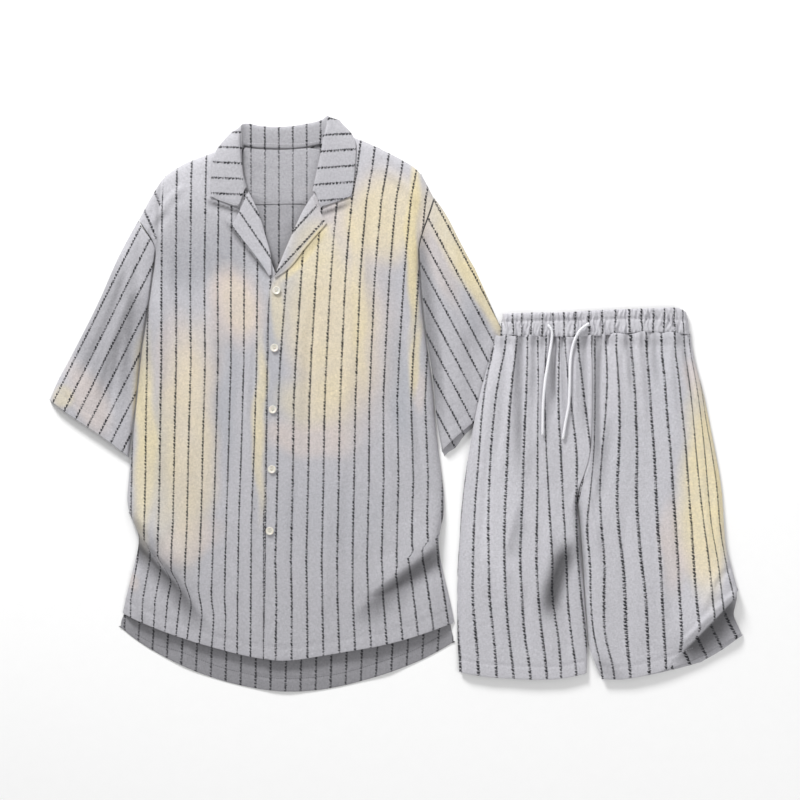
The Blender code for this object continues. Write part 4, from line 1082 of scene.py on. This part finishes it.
def paint(shader, share, low, high):
    """Colour a shader from low to high by share."""
    shader.id_data.links.new(blend(share, (*low, 1), (*high, 1)), shader.inputs["Base Color"])


def raise_bumps(shader, height, strength, distance):
    """Give a shader's surface the relief of a height, over a distance in millimetres."""
    tree = shader.id_data
    inputs = {"Strength": strength, "Distance": distance * MM, "Height": height}
    bump = add_node(tree, "ShaderNodeBump", inputs)
    tree.links.new(bump.outputs[0], shader.inputs["Normal"])


def stripe_cover(tree, width, fleck):
    """Mask of stripes made of short, slanted, broken marks."""
    across_map, along_map = split_map(tree, "Stripes")
    number = calc("ROUND", across_map)
    off = times(minus(across_map, number), STRIPE_PITCH * MM)
    cover = 0.0
    for index, strand in enumerate(STRANDS):
        cell = plus(calc("DIVIDE", along_map, fleck * strand.cell), times(number, 0.37 + 0.2 * index))
        row = calc("FLOOR", cell)
        within = minus(minus(cell, row), 0.5)
        place = add_node(tree, "ShaderNodeCombineXYZ", {0: number, 1: row, 2: 3.0 * index})
        chance = add_node(tree, "ShaderNodeTexWhiteNoise", {"Vector": place.outputs[0]},
                          noise_dimensions="3D")
        draws = add_node(tree, "ShaderNodeSeparateColor", {0: chance.outputs["Color"]}).outputs
        slant = scaled(draws[0], 0.8 * strand.lean, -0.2 * strand.lean)
        centre = scaled(times(within, slant), width, strand.side * width)
        half = scaled(draws[1], 0.16 * width, strand.half * width)
        across = calc("DIVIDE", calc("ABSOLUTE", minus(off, centre)), half)
        along = calc("DIVIDE", calc("ABSOLUTE", within), scaled(draws[2], 0.22, 0.26))
        mark = times(minus(1.0, ramp(across, 0.7, 1.2)), minus(1.0, ramp(along, 0.8, 1.1)))
        pale = scaled(ramp(chance.outputs["Value"], 0.0, 0.45, "LINEAR"), 0.52, 0.48)
        cover = calc("MAXIMUM", cover, times(mark, pale))
    return cover


def cloth_material(name, settings, kind):
    """Dyed cotton: grey ground, soft clouds, heathered threads, painted shade, woven relief and broken
    stripes.
    """
    material, tree, shader = new_material(name, 0.9, 0.1)
    place = object_place(tree)
    mottle = scaled(noise(place, 26.0, 5.0, Roughness=0.6), 0.8, 0.58)
    colour = (*settings.grey, 1)
    for tint in ("cool", "rose", "warm"):
        share = ramp(times(kept_value(tree, tint), mottle), 0.0, 1.0, "LINEAR")
        colour = blend(share, colour, (*getattr(settings, tint), 1))
    warp, weft = (add_node(tree, "ShaderNodeMapping", {"Vector": place, "Scale": scale}).outputs[0]
                  for scale in (WARP_SCALE, WEFT_SCALE))
    threads = plus(noise(warp, 1.0, 3.0), noise(weft, 1.0, 3.0))
    flock = noise(place, 340.0, 3.0, Roughness=0.7)
    heather = times(scaled(threads, 0.42, 0.58), scaled(flock, 0.52, 0.74))
    # Painted shade: the kept depth darkens the cloth's colour
    heather = times(heather, scaled(kept_value(tree, "depth"), -kind.shade, kind.shade))
    tone = add_node(tree, "ShaderNodeCombineColor", {0: heather, 1: heather, 2: heather}).outputs[0]
    colour = add_node(tree, "ShaderNodeMix", {0: 1.0, 6: colour, 7: tone}, data_type="RGBA",
                      blend_type="MULTIPLY").outputs[2]
    cover = stripe_cover(tree, settings.stripe_width * kind.breadth, settings.fleck)
    colour = blend(times(cover, kind.ink), colour, (*settings.ink, 1))
    tree.links.new(colour, shader.inputs["Base Color"])
    waves = {"Vector": place, "Scale": 420.0, "Distortion": 1.2, "Detail": 2.0, "Detail Scale": 2.0}
    weave = add_node(tree, "ShaderNodeTexWave", waves, bands_direction="DIAGONAL")
    relief = scaled(weave.outputs["Fac"], 0.06, noise(place, 60.0, 4.0, Roughness=0.55))
    raise_bumps(shader, scaled(threads, 0.07, relief), 0.7, 1.3)
    return material


def cord_material():
    """White cotton cord, braided along its length, with painted shade in the grooves between its strands."""
    material, tree, shader = new_material("cord_cotton_look", 0.8, 0.2)
    along, around = split_map(tree, "Braid")
    phase = times(along, 2.0 * math.pi / (BRAID_PITCH * MM))
    turn = 2.0 * math.pi * BRAID_STRANDS
    braid = calc("MAXIMUM", *(calc("SINE", scaled(around, sign * turn, phase)) for sign in (1.0, -1.0)))
    # Painted shade: the colour is darker where the braid's grooves lie
    paint(shader, ramp(braid, -0.6, 0.8), linear(206, 206, 212), linear(246, 246, 249))
    raise_bumps(shader, braid, 0.7, 0.35)
    return material


def thread_material(name, colour):
    """Sewing thread with a fine twist."""
    material, tree, shader = new_material(name, 0.7, 0.1)
    twist = noise(object_place(tree), 900.0, 2.0)
    paint(shader, ramp(twist, 0.3, 0.7), [0.72 * c for c in colour], colour)
    raise_bumps(shader, twist, 0.4, 0.1)
    return material


def button_material():
    """Off-white button shell with faint clouding and a soft polish."""
    material, tree, shader = new_material("button_shell_look", 0.32)
    for name, value in (("Coat Weight", 0.3), ("Coat Roughness", 0.2), ("Subsurface Weight", 0.1),
                        ("Subsurface Scale", 1.0 * MM)):
        shader.inputs[name].default_value = value
    cloud = noise(object_place(tree), 320.0, 3.0, Distortion=1.5)
    paint(shader, ramp(cloud, 0.3, 0.75), linear(226, 222, 212), linear(208, 204, 192))
    raise_bumps(shader, cloud, 0.15, 0.1)
    return material


def look(name):
    """Material by name, made the first time that it is asked for."""
    if name in bpy.data.materials:
        return bpy.data.materials[name]
    if name in CLOTH_LOOKS:
        return cloth_material(name, bpy.context.scene.garment_cloth, CLOTH_LOOKS[name])
    if name in THREAD_LOOKS:
        return thread_material(name, linear(*THREAD_LOOKS[name]))
    return {"cord_cotton_look": cord_material, "button_shell_look": button_material}[name]()


def smooth_route(points, count):
    """Points evenly spaced along a smooth curve through some points."""
    stops = np.array(points, float)
    steps = np.hypot(*np.diff(stops, axis=0).T)
    knots = np.concatenate(([0.0], np.cumsum(steps)))
    slopes = np.zeros_like(stops)
    for i in range(len(stops)):
        before, after = max(i - 1, 0), min(i + 1, len(stops) - 1)
        slopes[i] = (stops[after] - stops[before]) / (knots[after] - knots[before])
    runs = np.linspace(0.0, knots[-1], count)
    index = np.clip(np.searchsorted(knots, runs, side="right") - 1, 0, len(stops) - 2)
    span = (knots[index + 1] - knots[index])[:, None]
    t = (runs - knots[index])[:, None] / span
    return (stops[index] * (2 * t ** 3 - 3 * t ** 2 + 1) + slopes[index] * (t ** 3 - 2 * t ** 2 + t) * span
            + stops[index + 1] * (3 * t ** 2 - 2 * t ** 3) + slopes[index + 1] * (t ** 3 - t ** 2) * span)


def surface_below(pieces):
    """Function that gives the highest point of some pieces at x, y, in millimetres."""
    trees = []
    for piece in pieces:
        piece.data.calc_loop_triangles()
        corners = [tuple(t.vertices) for t in piece.data.loop_triangles]
        trees.append(BVHTree.FromPolygons([v.co for v in piece.data.vertices], corners))

    def at(x, y):
        best = 0.0
        for tree in trees:
            hit = tree.ray_cast(Vector((x * MM, y * MM, 0.5)), Vector((0.0, 0.0, -1.0)))[0]
            if hit is not None:
                best = max(best, hit.z)
        return best / MM

    return at


def tube_mesh(name, line, radius, sides):
    """Closed tube along a line of points, with its length and turn in a UV map called Braid."""
    line = np.array(line)
    tangents = np.gradient(line, axis=0)
    tangents /= np.linalg.norm(tangents, axis=1)[:, None]
    sidewise = np.cross(tangents, (0.0, 0.0, 1.0))
    sidewise /= np.linalg.norm(sidewise, axis=1)[:, None]
    upwards = np.cross(sidewise, tangents)
    radii = np.full(len(line), radius)
    radii[0] = radii[-1] = TUBE_END * radius
    angles = np.linspace(0.0, 2.0 * math.pi, sides, endpoint=False)
    turned = (np.cos(angles)[None, :, None] * sidewise[:, None, :]
              + np.sin(angles)[None, :, None] * upwards[:, None, :])
    rings = line[:, None, :] + radii[:, None, None] * turned
    runs = np.concatenate(([0.0], np.cumsum(np.linalg.norm(np.diff(line, axis=0), axis=1)))) * MM
    last = len(line) - 1
    faces, uvs = [], []
    for row in range(last):
        for i in range(sides):
            spots = ((row, i), (row, i + 1), (row + 1, i + 1), (row + 1, i))
            faces.append([ring * sides + k % sides for ring, k in spots])
            uvs += [(runs[ring], k / sides) for ring, k in spots]
    for row, step in ((0, -1), (last, 1)):
        faces.append([row * sides + i for i in range(sides)][::step])
        uvs += [(runs[row], 0.5)] * sides
    mesh = bpy.data.meshes.new(name)
    mesh.from_pydata((rings.reshape(-1, 3) * MM).tolist(), [], faces)
    layer = mesh.uv_layers.new(name="Braid")
    layer.data.foreach_set("uv", np.array(uvs).ravel())
    shell = bmesh.new()
    shell.from_mesh(mesh)
    bmesh.ops.recalc_face_normals(shell, faces=shell.faces)
    shell.to_mesh(mesh)
    shell.free()
    return mesh


def make_cord(node):
    """One free end of the drawstring, braided, on the line of its CAD solid."""
    top = surface_below([NODES[node]])
    flat = smooth_route(CORD_ROUTES[node], CORD_STEPS)
    heights = np.array([top(x, y) for x, y in flat])
    known = heights > CORD_LOWEST
    heights = np.interp(np.arange(CORD_STEPS), np.flatnonzero(known), heights[known]) - CORD_RADIUS
    window = 2 * SMOOTH_REACH + 1
    heights = np.convolve(np.pad(heights, SMOOTH_REACH, mode="edge"), np.ones(window) / window, "valid")
    line = np.column_stack((flat, heights))
    braid = tube_mesh(node, line, CORD_RADIUS, CORD_SIDES)
    piece = add_piece(f"{node}_braid", braid, look("cord_cotton_look"), node)


def stitch_tree():
    """Geometry nodes that sew evenly spaced stitches along a line of edges."""
    tree = bpy.data.node_groups.new("Stitch rows", "GeometryNodeTree")
    face = tree.interface
    face.new_socket("Line", in_out="INPUT", socket_type="NodeSocketGeometry")
    for name, value in (("Pitch", STITCH_PITCH * MM), ("Stitch Length", STITCH_LENGTH * MM),
                        ("Stitch Width", STITCH_WIDTH * MM), ("Unevenness", STITCH_UNEVENNESS)):
        face.new_socket(name, in_out="INPUT", socket_type="NodeSocketFloat").default_value = value
    face.new_socket("Seed", in_out="INPUT", socket_type="NodeSocketInt").default_value = STITCH_SEED
    face.new_socket("Thread", in_out="INPUT", socket_type="NodeSocketMaterial")
    face.new_socket("Stitches", in_out="OUTPUT", socket_type="NodeSocketGeometry")
    entry = add_node(tree, "NodeGroupInput")
    curve = add_node(tree, "GeometryNodeMeshToCurve", {"Mesh": entry.outputs["Line"]})
    spots = add_node(tree, "GeometryNodeCurveToPoints", {"Curve": curve.outputs[0],
                                                         "Length": entry.outputs["Pitch"]}, mode="LENGTH")
    turned = add_node(tree, "FunctionNodeAlignRotationToVector", {"Vector": spots.outputs["Tangent"]},
                      axis="X")
    bead = add_node(tree, "GeometryNodeMeshUVSphere", {"Segments": 6, "Rings": 4, "Radius": 0.5})
    share = entry.outputs["Unevenness"]
    uneven = add_node(tree, "FunctionNodeRandomValue", {
        2: minus(1.0, share), 3: plus(1.0, share), "Seed": entry.outputs["Seed"]}, data_type="FLOAT")
    long = times(entry.outputs["Stitch Length"], uneven.outputs[1])
    size = add_node(tree, "ShaderNodeCombineXYZ", {0: long, 1: entry.outputs["Stitch Width"],
                                                   2: entry.outputs["Stitch Width"]})
    rows = add_node(tree, "GeometryNodeInstanceOnPoints", {
        "Points": spots.outputs["Points"], "Instance": bead.outputs["Mesh"],
        "Rotation": turned.outputs[0], "Scale": size.outputs[0]})
    real = add_node(tree, "GeometryNodeRealizeInstances", {"Geometry": rows.outputs[0]})
    coloured = add_node(tree, "GeometryNodeSetMaterial", {"Geometry": real.outputs[0],
                                                          "Material": entry.outputs["Thread"]})
    leave = add_node(tree, "NodeGroupOutput")
    tree.links.new(coloured.outputs[0], leave.inputs["Stitches"])
    return tree


def socket_key(tree, name):
    """Identifier of a tree's input."""
    return next(item.identifier for item in tree.interface.items_tree
                if item.item_type == "SOCKET" and item.in_out == "INPUT" and item.name == name)


def sew(name, lines, cloth, thread="thread_look"):
    """Stitches along some lines of points, lying on the named pieces below them."""
    sewing = bpy.context.scene.garment_sewing
    height = surface_below([bpy.data.objects[piece] for piece in cloth])
    places, edges = [], []
    for line in lines:
        length = sum(math.dist(a, b) for a, b in zip(line, line[1:]))
        flat = smooth_route(line, max(int(length / SEAM_STEP), 4))
        first = len(places)
        places += [(x * MM, y * MM, (height(x, y) + STITCH_SINK) * MM) for x, y in flat]
        edges += [(first + i, first + i + 1) for i in range(len(flat) - 1)]
    mesh = bpy.data.meshes.new(name)
    mesh.from_pydata(places, edges, [])
    holder = link_object(name + "_lines", mesh)
    tree = bpy.data.node_groups.get("Stitch rows") or stitch_tree()
    rows = holder.modifiers.new("Stitches", "NODES")
    rows.node_group = tree
    values = {"Pitch": sewing.stitch_pitch, "Stitch Length": sewing.stitch_length,
              "Stitch Width": sewing.stitch_width, "Unevenness": STITCH_UNEVENNESS, "Seed": sewing.seed,
              "Thread": look(thread)}
    for key, value in values.items():
        rows[socket_key(tree, key)] = value
    made = finished_mesh(holder)
    put_points(made, points_of(made))
    add_piece(name, made, look(thread))


def button_disc(node, spot, base, thick):
    """Dished disc with a raised rim."""
    shell = bmesh.new()
    rings = []
    for reach, rise in BUTTON_PROFILE:
        turns = [2 * math.pi * i / BUTTON_SIDES for i in range(BUTTON_SIDES if reach else 1)]
        rings.append([shell.verts.new(Vector((spot[0] + BUTTON_RADIUS * reach * math.cos(turn),
                                              spot[1] + BUTTON_RADIUS * reach * math.sin(turn),
                                              base + thick * rise)) * MM) for turn in turns])
    for lower, upper in zip(rings, rings[1:]):
        for i in range(BUTTON_SIDES):
            j = (i + 1) % BUTTON_SIDES
            corners = [ring[k % len(ring)] for ring, k in ((lower, i), (lower, j), (upper, j), (upper, i))]
            shell.faces.new(list(dict.fromkeys(corners)))
    bmesh.ops.recalc_face_normals(shell, faces=shell.faces)
    return link_object(node + "_disc", mesh_of(node, shell))


def hole_rods(node, holes, base, thick):
    """Upright rods that cut the holes."""
    rods = bmesh.new()
    for x, y in holes:
        made = bmesh.ops.create_cone(rods, cap_ends=True, segments=HOLE_SIDES, radius1=HOLE_RADIUS * MM,
                                     radius2=HOLE_RADIUS * MM, depth=3.0 * thick * MM)
        bmesh.ops.translate(rods, verts=made["verts"], vec=Vector((x, y, base + 0.5 * thick)) * MM)
    return link_object(node + "_drill", mesh_of(node + "_drill", rods))


def thread_cross(node, holes, floor):
    """Mesh of the thread that crosses between opposite holes."""
    shell = bmesh.new()
    for (x0, y0), (x1, y1) in zip(holes, holes[2:]):
        run_x, run_y = x1 - x0, y1 - y0
        length = math.hypot(run_x, run_y)
        for shift in (-THREAD_SHIFT, THREAD_SHIFT):
            line = []
            for t in np.linspace(0.0, 1.0, THREAD_STEPS):
                rise = THREAD_RISE * math.sin(math.pi * t) ** 0.5 - (THREAD_DIP if t in (0.0, 1.0) else 0.0)
                line.append((x0 + run_x * t - run_y / length * shift, y0 + run_y * t + run_x / length * shift,
                             floor + rise))
            shell.from_mesh(tube_mesh(node, line, THREAD_RADIUS, THREAD_SIDES))
    return mesh_of(node + "_thread", shell)


def make_button(index, spot):
    """Sewn-on button: a dished disc with four holes and a thread cross."""
    node = f"shirt_button_{index}"
    low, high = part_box(node)
    base, thick = low.z / MM, (high.z - low.z) / MM
    turns = [math.radians(BUTTON_TURN * index) + math.pi / 4 + i * 2 * math.pi / HOLE_COUNT
             for i in range(HOLE_COUNT)]
    holes = [(spot[0] + HOLE_RING * math.cos(turn), spot[1] + HOLE_RING * math.sin(turn)) for turn in turns]
    disc, rods = button_disc(node, spot, base, thick), hole_rods(node, holes, base, thick)
    cut = disc.modifiers.new("Holes", "BOOLEAN")
    cut.operation, cut.object, cut.solver = "DIFFERENCE", rods, "EXACT"
    mesh = finished_mesh(disc)
    bpy.data.objects.remove(rods)
    add_piece(f"{node}_shell", mesh, look("button_shell_look"), node)
    add_piece(f"{node}_thread", thread_cross(node, holes, base + thick * BUTTON_WELL),
              look("button_thread_look"))


class GARMENT_OT_camera(bpy.types.Operator):
    """Set the camera straight above the table"""
    bl_idname = "garment.camera"
    bl_label = "Camera"

    def execute(self, context):
        stage = context.scene.garment_stage
        data = bpy.data.cameras.new("camera")
        data.lens = stage.lens
        data.sensor_width = SENSOR_WIDTH
        data.clip_end = FARTHEST_SEEN
        camera = link_object("camera", data)
        camera.location = (stage.camera_x, stage.camera_y, stage.camera_height)
        context.scene.camera = camera
        return {"FINISHED"}


class GARMENT_OT_cords(bpy.types.Operator):
    """Lay the drawstring's two free ends"""
    bl_idname = "garment.cords"
    bl_label = "Drawstring"

    def execute(self, context):
        for node in CORD_ROUTES:
            make_cord(node)
        return {"FINISHED"}


class GARMENT_OT_body(bpy.types.Operator):
    """Dress the shirt's back, yoke and fronts"""
    bl_idname = "garment.body"
    bl_label = "Shirt body"

    def execute(self, context):
        dress_panel("shirt_back", 3, back_relief, stripes_back, "shirt_back_inside_shaded_look",
                    steady=0.6, fade=1.6, seam=tuck_neck)
        dress_panel("shirt_back_yoke", 2, yoke_relief, stripes_back, "shirt_yoke_inside_shaded_look",
                    steady=1.6, fade=1.0,
                    seam=tuck_neck)
        dress_panel("shirt_front_right", 3, shirt_relief, stripes_right_front, "shirt_cloth_look")
        dress_panel("shirt_front_left", 3, shirt_relief, stripes_left_front, "shirt_cloth_look")
        return {"FINISHED"}


class GARMENT_OT_sleeves(bpy.types.Operator):
    """Dress the two short sleeves"""
    bl_idname = "garment.sleeves"
    bl_label = "Sleeves"

    def execute(self, context):
        for sleeve in SLEEVES:
            dress_panel(f"shirt_sleeve_{sleeve.side}", 3, sleeve_relief, stripes_sleeve(sleeve),
                        "shirt_cloth_look")
        return {"FINISHED"}


class GARMENT_OT_collar(bpy.types.Operator):
    """Dress the collar and the lapels"""
    bl_idname = "garment.collar"
    bl_label = "Collar and lapels"

    def execute(self, context):
        for lapel in LAPELS:
            dress_panel(f"shirt_lapel_{lapel.side}", 3, lapel_relief, stripes_lapel(lapel),
                        "shirt_cloth_look")
        dress_panel("shirt_collar", 3, collar_relief, stripes_collar, "shirt_cloth_look")
        return {"FINISHED"}


class GARMENT_OT_legs(bpy.types.Operator):
    """Dress the legs of the shorts"""
    bl_idname = "garment.legs"
    bl_label = "Legs"

    def execute(self, context):
        for side, stripes in (("right", stripes_right_leg), ("left", stripes_left_leg)):
            dress_panel(f"shorts_back_{side}", 2, still, stripes, "shorts_cloth_look")
            dress_panel(f"shorts_front_{side}", 3, shorts_relief, stripes, "shorts_cloth_look",
                        seam=lift_waist)
        return {"FINISHED"}


class GARMENT_OT_band(bpy.types.Operator):
    """Dress the gathered waistband"""
    bl_idname = "garment.band"
    bl_label = "Waistband"

    def execute(self, context):
        dress_panel("shorts_waistband", 3, band_relief, stripes_band, "shorts_cloth_look",
                    steady=4.0)
        return {"FINISHED"}


class GARMENT_OT_buttons(bpy.types.Operator):
    """Sew on the five buttons"""
    bl_idname = "garment.buttons"
    bl_label = "Buttons"

    def execute(self, context):
        for index, spot in enumerate(BUTTON_SPOTS, start=1):
            make_button(index, spot)
        return {"FINISHED"}


class GARMENT_OT_sewing(bpy.types.Operator):
    """Sew the hems, edges and seams"""
    bl_idname = "garment.sewing"
    bl_label = "Sewing"

    def execute(self, context):
        sew("shirt_hem_stitches", [FRONT_HEM_RIGHT, FRONT_HEM_LEFT, PLACKET],
            ["shirt_front_right_cloth", "shirt_front_left_cloth"])
        sew("shirt_back_hem_stitches", [BACK_HEM], ["shirt_back_cloth"], "dark_thread_look")
        sew("sleeve_hem_stitches", [CUFF_RIGHT, CUFF_LEFT],
            ["shirt_sleeve_right_cloth", "shirt_sleeve_left_cloth"])
        sew("neck_seam_stitches", [NECK_SEAM], ["shirt_collar_cloth", "shirt_back_cloth"], "dark_thread_look")
        sew("neck_tape_stitches", [NECK_TAPE], ["shirt_collar_cloth"], "pale_thread_look")
        sew("collar_stitches", [COLLAR_EDGE_RIGHT, COLLAR_EDGE_LEFT, LAPEL_EDGE_RIGHT, LAPEL_EDGE_LEFT],
            ["shirt_collar_cloth", "shirt_lapel_right_cloth", "shirt_lapel_left_cloth"])
        sew("shorts_stitches", [LEG_HEM_RIGHT, LEG_HEM_LEFT, CENTRE],
            ["shorts_front_right_cloth", "shorts_front_left_cloth"])
        sew("waistband_stitches", [[(x, BAND_GROOVE + rise) for x, rise in BAND_RISE]],
            ["shorts_waistband_cloth"])
        return {"FINISHED"}


class GARMENT_OT_stage(bpy.types.Operator):
    """Set the pale floor and the soft studio light"""
    bl_idname = "garment.stage"
    bl_label = "Stage"

    def execute(self, context):
        stage = context.scene.garment_stage
        floor_mesh = bpy.data.meshes.new("floor")
        level = CAD_BOX[0][2] - FLOOR_GAP
        corners = [(FLOOR_REACH * x, FLOOR_REACH * y, level) for x, y in ((-1, -1), (1, -1), (1, 1), (-1, 1))]
        floor_mesh.from_pydata(corners, [], [(0, 1, 2, 3)])
        material, tree, shader = new_material("pale_floor", 0.9)
        grain = noise(object_place(tree), 60.0, 4.0)
        paint(shader, grain, linear(250, 250, 250), linear(253, 253, 253))
        floor_mesh.materials.append(material)
        link_object("floor", floor_mesh)
        world = bpy.data.worlds.new("studio")
        world.use_nodes = True
        sky = world.node_tree.nodes["Background"]
        sky.inputs["Color"].default_value = (1.0, 1.0, 1.0, 1.0)
        sky.inputs["Strength"].default_value = stage.sky
        context.scene.world = world
        for lamp in LAMPS:
            data = bpy.data.lights.new(lamp.name, "AREA")
            data.shape = "DISK"
            data.size = lamp.size
            data.energy = lamp.share * stage.key
            light = link_object(lamp.name, data)
            light.location = lamp.place
            light.rotation_euler = (-Vector(lamp.place)).to_track_quat("-Z", "Y").to_euler()
        context.scene.view_settings.view_transform = "Standard"
        return {"FINISHED"}


class GARMENT_PT_panel(bpy.types.Panel):
    """Operators and settings of the garments"""
    bl_idname = "GARMENT_PT_panel"
    bl_label = "Shirt and shorts"
    bl_space_type = "VIEW_3D"
    bl_region_type = "UI"
    bl_category = "Garments"

    def draw(self, context):
        for settings in ("garment_cloth", "garment_sewing", "garment_stage"):
            group = getattr(context.scene, settings)
            box = self.layout.box()
            for name in group.__annotations__:
                box.prop(group, name)
        for operator in OPERATORS:
            self.layout.operator(operator.bl_idname)


OPERATORS = (
    GARMENT_OT_camera,
    GARMENT_OT_cords,
    GARMENT_OT_body,
    GARMENT_OT_sleeves,
    GARMENT_OT_collar,
    GARMENT_OT_legs,
    GARMENT_OT_band,
    GARMENT_OT_buttons,
    GARMENT_OT_sewing,
    GARMENT_OT_stage,
)
CLASSES = (ClothSettings, SewingSettings, StageSettings) + OPERATORS + (GARMENT_PT_panel,)


def register():
    for kind in CLASSES:
        bpy.utils.register_class(kind)
    bpy.types.Scene.garment_cloth = PointerProperty(type=ClothSettings)
    bpy.types.Scene.garment_sewing = PointerProperty(type=SewingSettings)
    bpy.types.Scene.garment_stage = PointerProperty(type=StageSettings)


def unregister():
    for name in ("garment_cloth", "garment_sewing", "garment_stage"):
        delattr(bpy.types.Scene, name)
    for kind in reversed(CLASSES):
        bpy.utils.unregister_class(kind)


def main():
    register()
    for operator in OPERATORS:
        group, name = operator.bl_idname.split(".")
        getattr(getattr(bpy.ops, group), name)()


if __name__ == "__main__":
    main()
